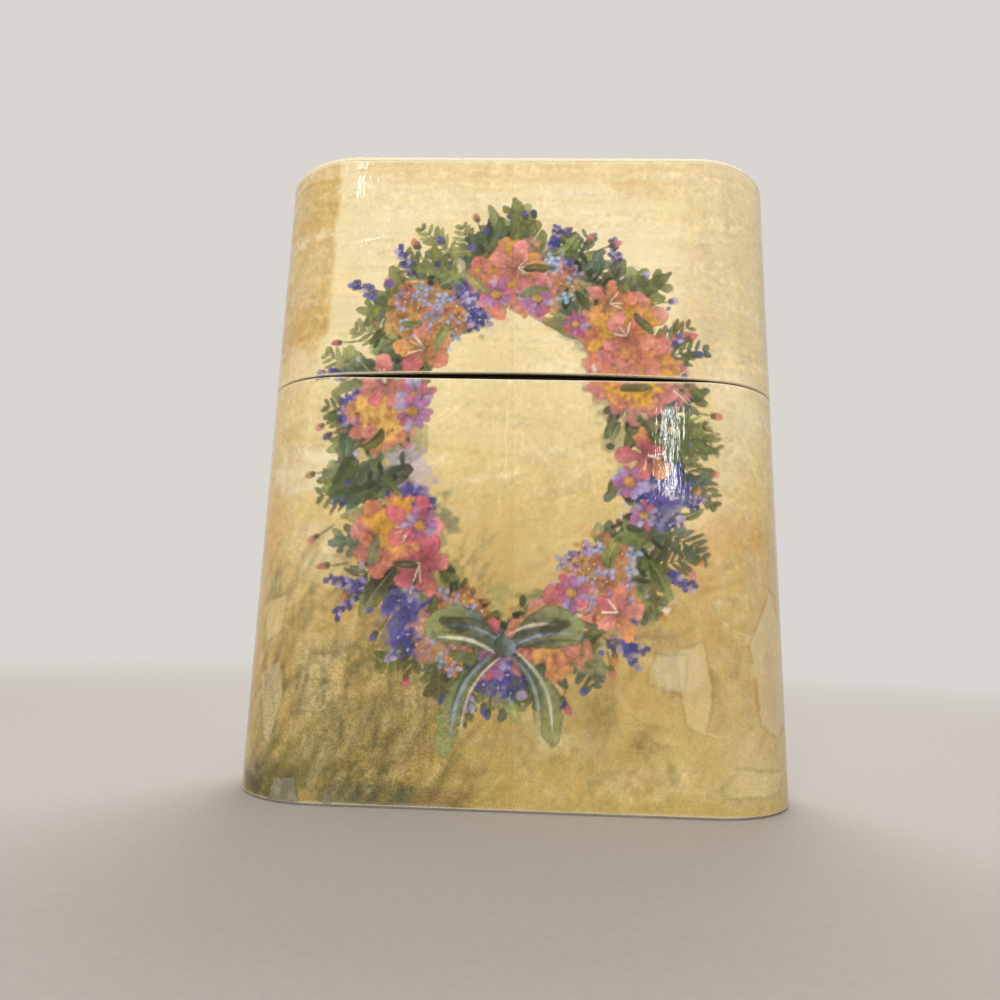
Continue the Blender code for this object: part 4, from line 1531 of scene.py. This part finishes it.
@dataclass(frozen=True)
class PaleFloor(Finish):
    """A matt pale floor, whose far part takes the backdrop's tone."""

    backdrop: str
    dark: str = "b9b4af"
    light: str = "bdb8b3"
    fade_from: float = 120.0
    fade_to: float = 420.0

    def lay(self, bench: NodeBench, shader: Node, place: Socket) -> None:
        """Mottles the floor and lets it fade into the backdrop, for the rays that see it."""
        mottle = bench.span(bench.noise(place, 0.9, 3.0), 0.3, 0.7)
        tone = bench.mix("MIX", mottle, rgba(self.dark), rgba(self.light))
        bench.feed(shader.inputs["Base Color"], tone)
        shader.inputs["Roughness"].default_value = 0.85
        glow = bench.filled("ShaderNodeEmission", {"Color": rgba(self.backdrop)})
        length = bench.filled("ShaderNodeVectorMath", {0: place}, operation="LENGTH")
        away = bench.span(length, self.fade_from, self.fade_to)
        share = bench.scaled(away, rays_that_see(bench))
        surface = bench.filled("ShaderNodeMixShader", {0: share, 1: shader.outputs[0], 2: glow})
        bench.feed(bench.tree.nodes["Material Output"].inputs["Surface"], surface)


def rays_that_see(bench: NodeBench) -> Socket:
    """1 for rays from the camera and for those mirrored or passed on by the box."""
    path = bench.add("ShaderNodeLightPath").outputs
    pair = bench.math("MAXIMUM", path["Is Camera Ray"], path["Is Glossy Ray"])
    return bench.math("MAXIMUM", pair, path["Is Transmission Ray"])


# Paper pieces


def deselect_all() -> None:
    """Leaves object mode with nothing selected."""
    if bpy.context.object and bpy.context.object.mode != "OBJECT":
        bpy.ops.object.mode_set(mode="OBJECT")
    bpy.ops.object.select_all(action="DESELECT")


def name_piece(name: str) -> Piece:
    """Names the piece just added and settles its place into its mesh."""
    piece = bpy.context.object
    piece.name = name
    piece.data.name = name
    bpy.ops.object.transform_apply(location=True, rotation=True, scale=True)
    return piece


def select_edges(piece: Piece, wanted: Callable[[bmesh.types.BMEdge], bool]) -> None:
    """Selects edges of the piece in edit mode, by a test."""
    bpy.ops.object.mode_set(mode="EDIT")
    bpy.ops.mesh.select_mode(type="EDGE")
    bpy.ops.mesh.select_all(action="DESELECT")
    mesh = bmesh.from_edit_mesh(piece.data)
    for edge in mesh.edges:
        edge.select = wanted(edge)
    mesh.select_flush(True)
    bmesh.update_edit_mesh(piece.data)


def turn_outwards() -> None:
    """Turns every face of the mesh in edit mode outwards, and leaves edit mode."""
    bpy.ops.mesh.select_all(action="SELECT")
    bpy.ops.mesh.normals_make_consistent(inside=False)
    bpy.ops.object.mode_set(mode="OBJECT")


def points_of(piece: Piece) -> Array:
    """Vertex positions of a piece, one row each."""
    flat = np.empty(3 * len(piece.data.vertices), np.float32)
    piece.data.vertices.foreach_get("co", flat)
    return flat.reshape(-1, 3).astype(float)


def set_points(piece: Piece, points: Array) -> None:
    """Moves the vertices of a piece."""
    piece.data.vertices.foreach_set("co", points.astype(np.float32).ravel())
    piece.data.update()


def set_colours(piece: Piece, name: str, values: Array) -> None:
    """Stores one colour for each vertex."""
    layer = piece.data.color_attributes.new(name=name, type="FLOAT_COLOR", domain="POINT")
    full = np.ones((len(values), 4), np.float32)
    full[:, : values.shape[1]] = values
    layer.data.foreach_set("color", full.ravel())


def set_print(piece: Piece, painting: Array, wear: Array, grain: Array) -> None:
    """Stores what the varnished print reads off a sheet.

    Args:
        piece: The sheet.
        painting: Linear colour of each vertex.
        wear: How far each vertex is turned pale, as worn paper and as painted highlights, from 0 to 1.
        grain: How much pigment has settled in the paper's tooth there.
    """
    set_colours(piece, "painting", painting)
    set_colours(piece, "marks", np.stack((wear, grain, np.zeros_like(wear)), axis=1))


def count_of(items: bpy.types.bpy_prop_collection, name: str) -> Array:
    """One whole number of every item of a mesh, such as where each face starts."""
    values = np.empty(len(items), int)
    items.foreach_get(name, values)
    return values


def faces_of(mesh: bpy.types.Mesh) -> tuple[Array, Array, Array]:
    """How the faces of a mesh are made up.

    Args:
        mesh: The mesh.

    Returns:
        The vertex of each corner, the first corner of each face, and each face's corner count.
    """
    corners = count_of(mesh.loops, "vertex_index")
    return corners, count_of(mesh.polygons, "loop_start"), count_of(mesh.polygons, "loop_total")


def set_map(mesh: bpy.types.Mesh, u: Array, v: Array) -> None:
    """Stores the OFBake UV map, one place for each corner."""
    layer = mesh.uv_layers.new(name="OFBake")
    layer.uv.foreach_set("vector", np.stack((u, v), axis=1).astype(np.float32).ravel())


def smooth_faces(piece: Piece) -> None:
    """Shades a sheet smooth, apart from its sharp edges."""
    piece.data.shade_smooth()
    piece.data.set_sharp_from_angle(angle=math.radians(50))


def settle(piece: Piece, finish: Material, body: str, node: str = "") -> Piece:
    """Dresses a piece of paper, hangs it on its body and hides the node it replaces.

    Args:
        piece: The piece.
        finish: Its finish.
        body: The body of the box that carries it.
        node: The node of the frame that it replaces, if it does.

    Returns:
        The piece.
    """
    dress(piece, finish)
    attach(piece, body)
    if node:
        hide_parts(node)
    LOG.info("%s: %d faces", piece.name, len(piece.data.polygons))
    return piece


@dataclass
class PaperSheet:
    """One glued sheet of printed paper, from the join at the front to the join at the back.

    It starts as a grid on the front, is spun round the end and drawn out along the back,
    then gets its rounded edges, its thickness and the relief of the painting.
    """

    node: str
    name: str
    body: str
    side: int
    outline: Outline
    canvas: Canvas
    low: float
    high: float
    pitch_up: float
    pitch_across: float
    thick: float = 0.6 * MM
    edge_radius: float = 0.26 * MM
    crown_radius: float = 0.26 * MM
    edge_rows: int = 4
    edge_wear_and_highlight: float = 0.75
    join_gap: float = 0.005 * MM
    join_fall: float = 0.02 * MM
    set_back: float = 0.02
    proud: float = 0.06
    tint: Triple = (1.0, 1.0, 1.0)
    rows: int = field(init=False)
    front_x: float = field(init=False)
    back_x: float = field(init=False)
    piece: Piece = field(init=False)
    row: Array = field(init=False)
    arc: Array = field(init=False)
    height: Array = field(init=False)

    def __post_init__(self) -> None:
        """Works out the row count and where the joins lie."""
        plain = round((self.high - self.low) / self.pitch_up)
        self.rows = plain + 2 * (self.edge_rows + 1)
        self.front_x = JOIN_NOMINAL * MM + self.side * self.join_gap
        self.back_x = self.side * self.join_gap

    @property
    def at_lid(self) -> bool:
        """Whether the sheet lies above the seam."""
        return self.low > SEAM_HIGH

    def raise_skin(self) -> None:
        """Makes the bent skin, one cell thick, with even rows."""
        outline = self.outline
        end_x = self.side * outline.half_straight
        front = outline.centre_y - outline.radius
        wide = abs(end_x - self.front_x)
        deselect_all()
        bpy.ops.mesh.primitive_grid_add(
            x_subdivisions=round(wide / self.pitch_across),
            y_subdivisions=self.rows,
            size=1.0,
            location=((self.front_x + end_x) / 2, front, (self.low + self.high) / 2),
            rotation=(math.pi / 2, 0.0, 0.0),
        )
        bpy.context.object.scale = (wide, self.high - self.low, 1.0)
        self.piece = name_piece(self.name)
        near = 0.1 * self.pitch_across
        select_edges(self.piece, lambda edge: all(abs(v.co.x - end_x) < near for v in edge.verts))
        quarter = outline.half_round / 2
        for share in (END_PITCH_SHARE, BACK_PITCH_SHARE):
            bpy.ops.mesh.spin(
                steps=round(quarter / (share * self.pitch_across)),
                dupli=False,
                angle=-self.side * math.pi / 2,
                center=(end_x, outline.centre_y, 0.0),
                axis=(0.0, 0.0, 1.0),
            )
        run = abs(end_x - self.back_x)
        steps = round(run / (BACK_PITCH_SHARE * self.pitch_across))
        step = (-self.side * run / steps, 0.0, 0.0)
        bpy.ops.mesh.extrude_repeat(steps=steps, offset=step, scale_offset=1.0)
        bpy.ops.object.mode_set(mode="OBJECT")

    def bow(self, arc: Array) -> Array:
        """How far the lid's front edge bows up at these arcs."""
        x = self.outline.place(arc, np.zeros_like(arc))[0]
        share = np.maximum(0.0, 1 - (x / BOW_HALF_WIDE) ** 2)
        return BOW_HIGH * share * np.maximum(0.0, np.cos(self.outline.turn(arc)))

    def edges_at(self, arc: Array) -> tuple[Array, Array]:
        """Where the sheet ends below and above, with the hinge's notch.

        Args:
            arc: Arcs along the sheet.

        Returns:
            The lowest and the highest height at each.
        """
        from_back = self.outline.reach - np.abs(arc)
        in_notch = from_back < NOTCH_HALF
        low = np.full_like(arc, self.low)
        high = np.full_like(arc, self.high)
        if self.at_lid:
            low = np.where(in_notch, SEAM_HIGH + NOTCH_HIGH, low + self.bow(arc))
        else:
            high = np.where(in_notch, SEAM_HIGH - NOTCH_HIGH, high)
        return low, high

    def profile(self, row: Array, low: Array, high: Array) -> tuple[Array, Array]:
        """Inset and height of each row of the section, round both edges.

        Args:
            row: Row numbers, from the inside of the low edge to the inside of the high one.
            low: Lowest height for each.
            high: Highest height for each.

        Returns:
            The insets and the heights.
        """
        last = self.edge_rows + 1
        from_end = np.minimum(row, self.rows - row)
        angle = np.clip((from_end - 1) / self.edge_rows, 0.0, 1.0) * math.pi / 2
        radius = np.where(row < self.rows / 2, self.edge_radius, self.crown_radius)
        inset = np.where(from_end == 0, self.thick, radius * (1 - np.sin(angle)))
        share = np.clip((row - last) / (self.rows - 2 * last), 0.0, 1.0)
        first, final = low + self.edge_radius, high - self.crown_radius
        plain = first + share * (final - first)
        rise = radius * (1 - np.cos(angle))
        height = np.where(row < last, low + rise, np.where(row > self.rows - last, high - rise, plain))
        return inset, height

    def keep_notch_sharp(self, arc: Array) -> Array:
        """Draws the two columns by the notch's side together, so that it stands upright.

        Args:
            arc: Arc of each vertex.

        Returns:
            The arcs with those columns moved.
        """
        notch_arc = self.side * (self.outline.reach - NOTCH_HALF)
        columns = np.unique(arc.round(6))
        nearest = columns[np.argsort(np.abs(columns - notch_arc))[:2]]
        for column, aside in zip(sorted(nearest, key=abs), (-0.01 * MM, 0.01 * MM)):
            arc = np.where(np.abs(arc - column) < 2e-6, notch_arc + self.side * aside, arc)
        return arc

    def shape(self) -> None:
        """Moves every row to its place, and raises the relief of the paper."""
        points = points_of(self.piece)
        row = np.rint((points[:, 2] - self.low) / (self.high - self.low) * self.rows)
        arc = self.keep_notch_sharp(self.outline.unroll(points[:, 0], points[:, 1], self.side))
        inset, height = self.profile(row, *self.edges_at(arc))
        inset = inset + np.where(self.at_join(arc), self.join_fall, 0.0)
        self.row, self.arc, self.height = row, self.slant(arc, height), height
        sunk = np.maximum(self.set_back - self.look(Mark.RELIEF), -self.proud) * MM
        plain = np.minimum(row, self.rows - row) > self.edge_rows
        x, y = self.outline.place(self.arc, inset + np.where(plain, sunk, 0.0))
        set_points(self.piece, np.stack((x, y, height), axis=1))

    def look(self, mark: Mark | None = None) -> Array:
        """Reads the canvas at every vertex.

        Args:
            mark: What to read, or nothing for the colour.

        Returns:
            One value or colour for each vertex.
        """
        layer = self.canvas.marks[mark] if mark else self.canvas.colour
        return self.canvas.look(layer, self.arc * PER_METRE, self.height * PER_METRE)

    def at_join(self, arc: Array) -> Array:
        """Whether these arcs lie on the sheet's upright edges, which fall away at the joins."""
        front = np.abs(arc - self.front_x) < 0.2 * self.pitch_across
        back = self.outline.reach - np.abs(arc) < 2 * self.join_gap
        return front | back

    def slant(self, arc: Array, height: Array) -> Array:
        """Leans the front join, and eases the lean out before the end.

        Args:
            arc: Arc of each vertex.
            height: Its height.

        Returns:
            The leaning arcs.
        """
        join = (JOIN_FOOT + JOIN_SLANT * height * PER_METRE) * MM
        shift = join - JOIN_NOMINAL * MM
        run = self.outline.half_straight
        return arc + shift * np.clip(1 - np.abs(arc - self.front_x) / run, 0.0, 1.0)

    def close(self) -> None:
        """Closes the sheet's back and both its ends."""
        first, last = self.row == 0, self.row == self.rows
        select_edges(
            self.piece,
            lambda edge: all(first[v.index] for v in edge.verts)
            or all(last[v.index] for v in edge.verts),
        )
        bpy.ops.mesh.bridge_edge_loops()
        bpy.ops.mesh.select_all(action="DESELECT")
        bpy.ops.mesh.select_non_manifold()
        bpy.ops.mesh.fill_holes(sides=0)
        turn_outwards()

    def map_sheet(self) -> None:
        """Unrolls the sheet into its UV map: face, then back and ends in thin strips."""
        corners, starts, sizes = faces_of(self.piece.data)
        face = np.repeat(np.arange(len(sizes)), sizes)
        row = self.row[corners]
        spread = np.maximum.reduceat(row, starts) - np.minimum.reduceat(row, starts)
        at_back = ((spread == self.rows) & (sizes == 4))[face]
        at_end = (sizes > 4)[face]
        share = np.abs(self.arc[corners] - self.front_x) / self.outline.reach
        u = 0.012 + 0.976 * np.clip(share, 0.0, 1.0)
        v = 0.04 + 0.95 * row / self.rows
        v = np.where(at_back, 0.006 + 0.024 * (row > 0), v)
        u = np.where(at_end, np.where(share < 0.5, 0.002, 0.996) + 0.002 * (row % 2), u)
        set_map(self.piece.data, u, v)

    def colour(self) -> None:
        """Copies the painting and its marks onto the sheet, and paints its rounded edges pale: worn paper
        core and a painted highlight.
        """
        painting = self.look() * np.array(self.tint, np.float32)
        wear = self.look(Mark.WEAR)
        from_end = np.minimum(self.row, self.rows - self.row)
        # The rounded edge rows are painted pale, as worn paper core and as a painted highlight where the
        # edges catch light.
        wear = np.where(from_end <= self.edge_rows, np.maximum(wear, self.edge_wear_and_highlight), wear)
        set_print(self.piece, painting, wear, self.look(Mark.GRAIN))

    def build(self, finish: Material) -> Piece:
        """Makes the whole sheet.

        Args:
            finish: The varnished print.

        Returns:
            The piece, riding on its body.
        """
        for step in (self.raise_skin, self.shape, self.close, self.map_sheet, self.colour):
            step()
        smooth_faces(self.piece)
        return settle(self.piece, finish, self.body, self.node)


@dataclass
class TopSheet:
    """The paper on the lid's top, which shows the folded edge of the metal beneath.

    It starts as a square grid, is pressed into the outline of the box, and gets a rounded
    rim, a flat underside and the groove of the fold.
    """

    outline: Outline
    canvas: Canvas
    pitch: float
    edge_radius: float = 0.28 * MM
    rim_rows: int = 5
    rim_wear_and_highlight: float = 0.95
    grain: float = 0.4
    fold_wide: float = 2.1 * MM
    groove_half: float = 0.45 * MM
    groove_deep: float = 0.07 * MM
    piece: Piece = field(init=False)
    row: Array = field(init=False)
    inset: Array = field(init=False)

    @property
    def low(self) -> float:
        """Height of the underside, on the metal's fold."""
        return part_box("lid_wall")[1].z

    @property
    def high(self) -> float:
        """Height of the face."""
        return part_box("lid_top_paper")[1].z

    def raise_skin(self) -> None:
        """Makes the square grid and draws its border down, one row below another."""
        outline = self.outline
        deselect_all()
        bpy.ops.mesh.primitive_grid_add(
            x_subdivisions=round(2 * (outline.half_straight + outline.radius) / self.pitch),
            y_subdivisions=round(2 * outline.radius / self.pitch),
            size=2.0,
        )
        self.piece = name_piece("lid_top_sheet")
        select_edges(self.piece, lambda edge: edge.is_boundary)
        for _ in range(self.rim_rows):
            bpy.ops.mesh.extrude_region_move(TRANSFORM_OT_translate={"value": (0.0, 0.0, -1.0)})
        bpy.ops.mesh.edge_face_add()
        turn_outwards()

    def shape(self) -> None:
        """Presses the grid into the outline, and its face along the fold of the metal."""
        square = points_of(self.piece)
        row = np.rint(-square[:, 2])
        share = np.clip(row / (self.rim_rows - 1), 0.0, 1.0) * math.pi / 2
        radius = self.outline.radius - self.edge_radius * (1 - np.sin(share))
        angle = square[:, 1] * math.pi / 2
        x = square[:, 0] * (self.outline.half_straight + radius * np.cos(angle))
        y = self.outline.centre_y + radius * np.sin(angle)
        along = np.maximum(np.abs(x) - self.outline.half_straight, 0.0)
        inset = self.outline.radius - np.hypot(along, y - self.outline.centre_y)
        apart = (inset - self.fold_wide) / self.groove_half
        groove = self.groove_deep * np.exp(-(apart**2))
        step = 0.4 * self.groove_deep * smooth(apart)
        rim = self.high - self.edge_radius * (1 - np.cos(share))
        z = np.where(row > 0, rim, self.high - groove - step)
        z = np.where(row == self.rim_rows, self.low, z)
        set_points(self.piece, np.stack((x, y, z), axis=1))
        self.row, self.inset = row, inset

    def map_sheet(self) -> None:
        """Lays the face flat in the UV map, with rim and underside in strips below it."""
        corners, starts, sizes = faces_of(self.piece.data)
        points, row = points_of(self.piece)[corners], self.row[corners]
        deepest = np.repeat(np.maximum.reduceat(row, starts), sizes)
        half_wide = self.outline.half_straight + self.outline.radius
        deep = points[:, 1] - self.outline.centre_y
        across = 0.5 + 0.49 * points[:, 0] / half_wide
        along = 0.5 + 0.5 * deep / self.outline.radius
        turned = np.arctan2(deep, points[:, 0])
        at_rim = (deepest > 0) & np.repeat(sizes == 4, sizes)
        beneath = np.repeat(sizes > 4, sizes)
        u = np.where(at_rim, 0.5 + 0.49 * turned / math.pi, across)
        v = np.where(at_rim, 0.005 + 0.05 * row / self.rim_rows, 0.12 + 0.87 * along)
        v = np.where(beneath, 0.065 + 0.04 * along, v)
        set_map(self.piece.data, u, v)

    def colour(self) -> None:
        """Copies the painting of the top onto the sheet, and paints its rounded rim pale: worn paper core and
        a painted highlight.
        """
        points = points_of(self.piece)
        across = points[:, 0] * PER_METRE
        up = (points[:, 1] - self.outline.centre_y + self.outline.radius) * PER_METRE
        # The rounded rim is painted pale, as worn paper core and as a painted highlight of the lit top edge.
        wear = self.rim_wear_and_highlight * np.clip(1 - self.inset / self.edge_radius, 0.0, 1.0)
        painting = self.canvas.look(self.canvas.colour, across, up)
        set_print(self.piece, painting, wear, np.full_like(wear, self.grain))

    def build(self, finish: Material) -> Piece:
        """Makes the sheet.

        Args:
            finish: The varnished print.

        Returns:
            The piece, riding on the lid.
        """
        for step in (self.raise_skin, self.shape, self.map_sheet, self.colour):
            step()
        smooth_faces(self.piece)
        return settle(self.piece, finish, "lid", "lid_top_paper")


@dataclass
class FootPatch:
    """A torn scrap at the foot, where the print has come away."""

    name: str
    outline: Outline
    corners: tuple[Point, ...]
    cells: int = 14
    proud: float = 0.05 * MM
    thick: float = 0.16 * MM
    tear: float = 0.10

    def shape(self, piece: Piece) -> None:
        """Stretches the unit square over the four corners, tears its rim and bends it round.

        Args:
            piece: A grid on the unit square.
        """
        flat = points_of(piece)
        u, v = flat[:, 0], flat[:, 1]
        weights = np.stack(((1 - u) * (1 - v), u * (1 - v), u * v, (1 - u) * v), axis=1)
        spot = weights @ np.array(self.corners)
        rough = np.sin(17 * u + 5) * np.sin(13 * v + 2) + 0.6 * np.sin(41 * u * v + 3)
        rim = np.maximum(np.abs(2 * u - 1), np.abs(2 * v - 1)) ** 6
        ragged = self.tear * rim * rough
        spot += np.stack((ragged, v * ragged), axis=1)
        x, y = self.outline.place(spot[:, 0] * MM, np.full(len(u), -self.proud))
        set_points(piece, np.stack((x, y, spot[:, 1] * MM), axis=1))

    def build(self, finish: Material) -> Piece:
        """Makes the scrap.

        Args:
            finish: The grey scrap paper.

        Returns:
            The piece, riding on the box's body.
        """
        deselect_all()
        bpy.ops.mesh.primitive_grid_add(
            x_subdivisions=self.cells, y_subdivisions=self.cells, size=1.0, location=(0.5, 0.5, 0.0)
        )
        piece = name_piece(self.name)
        self.shape(piece)
        thickness = piece.modifiers.new("thickness", "SOLIDIFY")
        thickness.thickness = self.thick
        thickness.offset = -1.0
        bpy.ops.object.modifier_apply(modifier=thickness.name)
        bpy.ops.object.shade_smooth_by_angle(angle=math.radians(35))
        return settle(piece, finish, "box_body")


# Surroundings


class Shine(Enum):
    """What a lamp does: lights, glints or both."""

    BOTH = "both"
    MATT = "matt"
    GLOSS = "gloss"


@dataclass(frozen=True)
class Lamp:
    """One area lamp of the studio."""

    name: str
    place: Triple
    aim: Triple
    size: tuple[float, float]
    watts: float
    kind: Shine = Shine.BOTH

    def hang(self) -> None:
        """Hangs the lamp, out of the camera's sight."""
        data = bpy.data.lights.new(self.name, "AREA")
        data.shape = "RECTANGLE"
        data.size, data.size_y = self.size
        data.energy = self.watts
        lamp = bpy.data.objects.new(self.name, data)
        way = Vector(self.aim) - Vector(self.place)
        turn = way.to_track_quat("-Z", "Y").to_matrix().to_4x4()
        lamp.matrix_world = Matrix.Translation(self.place) @ turn
        lamp.visible_camera = False
        lamp.visible_diffuse = self.kind is not Shine.GLOSS
        lamp.visible_glossy = self.kind is not Shine.MATT
        bpy.context.scene.collection.objects.link(lamp)


@dataclass(frozen=True)
class Studio:
    """Pale floor, pale surroundings and soft lamps."""

    floor_half: float = 3.0
    backdrop: str = "d9d5d0"
    daylight: str = "fbf7f0"
    ambient: float = 0.48

    def lay_floor(self) -> None:
        """Makes the round floor."""
        deselect_all()
        bpy.ops.mesh.primitive_circle_add(vertices=96, radius=self.floor_half, fill_type="NGON")
        floor = name_piece("floor")
        dress(floor, PaleFloor("pale_floor", self.backdrop).make())

    def surround(self) -> None:
        """Makes the world: even pale light, and a pale backdrop for what is seen."""
        world = bpy.data.worlds.new("pale_studio")
        world.use_nodes = True
        bpy.context.scene.world = world
        bench = NodeBench(world.node_tree)
        plain = world.node_tree.nodes["Background"]
        plain.inputs["Color"].default_value = rgba(self.daylight)
        plain.inputs["Strength"].default_value = self.ambient
        shown = bench.filled("ShaderNodeBackground", {"Color": rgba(self.backdrop)})
        shares = {0: rays_that_see(bench), 1: plain.outputs[0], 2: shown}
        surface = bench.filled("ShaderNodeMixShader", shares)
        bench.feed(world.node_tree.nodes["World Output"].inputs["Surface"], surface)

    def light(self) -> None:
        """Hangs the lamps: a soft key in front, one above, one behind, and two that draw the gloss."""
        middle = (0.0, -0.01, 0.05)
        right_edge = (0.022, -0.015, 0.05)
        lid_corner = (-0.025, -0.015, 0.094)
        lamps = (
            Lamp("key", (-0.10, -0.62, 0.30), middle, (0.40, 0.36), 2.8, Shine.MATT),
            Lamp("above", (0.0, -0.34, 0.72), middle, (0.36, 0.24), 0.6),
            Lamp("behind", (0.03, 0.28, 0.48), middle, (0.36, 0.26), 1.7),
            Lamp("glint_right", (0.123, -0.488, 0.175), right_edge, (0.005, 0.075), 0.055, Shine.GLOSS),
            Lamp("glint_left", (-0.137, -0.405, 0.377), lid_corner, (0.010, 0.034), 0.017, Shine.GLOSS),
        )
        for lamp in lamps:
            lamp.hang()

    def build(self) -> None:
        """Sets everything up."""
        self.lay_floor()
        self.surround()
        self.light()
        bpy.context.scene.view_settings.view_transform = "Standard"


@dataclass(frozen=True)
class Viewpoint:
    """Where the photograph was taken from, fitted to the box's outline."""

    eye: Triple = (0.00094, -0.11343, 0.02378)
    right: Triple = (0.99917063, 0.03024638, 0.02726203)
    forward: Triple = (-0.03480342, 0.98189884, 0.18618108)
    up: Triple = (-0.02113725, -0.18697548, 0.98213715)
    lens: float = 24.948
    sensor: float = 36.0

    def build(self) -> None:
        """Puts the camera there."""
        data = bpy.data.cameras.new("photograph")
        data.lens = self.lens
        data.sensor_width = self.sensor
        data.clip_start = 0.005
        camera = bpy.data.objects.new("photograph", data)
        turn = Matrix((self.right, self.up, -Vector(self.forward))).transposed().to_4x4()
        camera.matrix_world = Matrix.Translation(self.eye) @ turn
        bpy.context.scene.collection.objects.link(camera)
        bpy.context.scene.camera = camera


# The box


@dataclass
class Papers:
    """All the paper of the box."""

    outline: Outline
    canvas: Canvas
    top_canvas: Canvas
    body_pitch: tuple[float, float] = (0.224 * MM, 0.188 * MM)
    lid_pitch: tuple[float, float] = (0.172 * MM, 0.150 * MM)
    top_pitch: float = 0.25 * MM
    seam_crown: float = 0.26 * MM
    lid_crown: float = 0.05 * MM
    left_tint: Triple = (0.965, 0.96, 0.945)
    right_tint: Triple = (1.0, 1.0, 1.0)

    @property
    def coarse(self) -> float:
        """How many times wider the meshes' cells are than in the full look."""
        return 1.0

    def sheets(self) -> list[PaperSheet]:
        """The four printed side sheets."""
        made = []
        for word, side, tint in (("left", -1, self.left_tint), ("right", 1, self.right_tint)):
            for part, body, pitch, crown in (
                ("body", "box_body", self.body_pitch, self.seam_crown),
                ("lid", "lid", self.lid_pitch, self.lid_crown),
            ):
                low, high = (corner.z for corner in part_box(f"{part}_paper_left"))
                up, across = (self.coarse * length for length in pitch)
                sheet = PaperSheet(
                    f"{part}_paper_{word}", f"{part}_sheet_{word}", body, side, self.outline,
                    self.canvas, low, high, up, across, crown_radius=crown, tint=tint,
                )
                made.append(sheet)
        return made

    def build(self) -> None:
        """Makes every sheet and scrap."""
        printed = VarnishedPrint("varnished_print").make()
        for sheet in self.sheets():
            sheet.build(printed)
        TopSheet(self.outline, self.top_canvas, self.coarse * self.top_pitch).build(printed)
        scrap = ScrapPaper("grey_scrap").make()
        wide = ((-33.6, 0.45), (-28.5, 0.45), (-29.5, 3.6), (-32.6, 3.2))
        narrow = ((-25.2, 0.45), (-24.1, 0.45), (-24.2, 1.8), (-25.0, 1.6))
        FootPatch("foot_scrap_wide", self.outline, wide).build(scrap)
        FootPatch("foot_scrap_narrow", self.outline, narrow, tear=0.05).build(scrap)


@dataclass
class Metalwork:
    """The metal nodes, which keep their solids."""

    nodes: dict[str, Piece]
    rust: str = "8d7c5d"

    def build(self) -> None:
        """Gives each metal node its finish."""
        wall = BareMetal("tinplate_wall", "cfcdc6", self.rust, Direction.ROUND).make()
        panel = BareMetal("tinplate_panel", "cbc9c2", self.rust, Direction.ACROSS).make()
        fine = {"roughness": 0.22, "streak_size": 0.2, "stained": 0.2}
        wire = BareMetal("drawn_wire", "a9a9ac", "6a5a44", Direction.ACROSS, **fine).make()
        # The collar's near-black lacquer is also painted shade, for the dark slit at the seam.
        lacquer = DarkLacquerAndShade("dark_lacquer", rim=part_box("inner_collar")[1].z).make()
        finishes = {
            "body_wall": wall,
            "lid_wall": wall,
            "body_floor": panel,
            "lid_top": panel,
            "inner_collar": lacquer,
            "hinge_pin": wire,
        }
        for node, finish in finishes.items():
            dress(self.nodes[node], finish)
            LOG.info("%s: %s", node, finish.name)


def main() -> None:
    """Builds the looks: painting, metal finishes, papers, studio and camera."""
    outline = Outline.of_box()
    pitch = PRINT_PITCH
    side = Canvas(outline.reach * PER_METRE + SPARE, PRINT_HIGH, pitch, SIDE_SEED)
    Painting(side, SEAM_HIGH * PER_METRE).finish()
    LOG.info("painting: %d by %d cells", len(side.across), len(side.up))
    wide, deep = CAD_BOX[1].x * PER_METRE + TOP_SPARE, 2 * outline.radius * PER_METRE
    top = TopPainting(Canvas(wide, deep, pitch, TOP_SEED)).finish()
    Metalwork(frame["nodes"]).build()
    Papers(outline, side, top).build()
    Studio().build()
    Viewpoint().build()


if __name__ == "__main__":
    main()
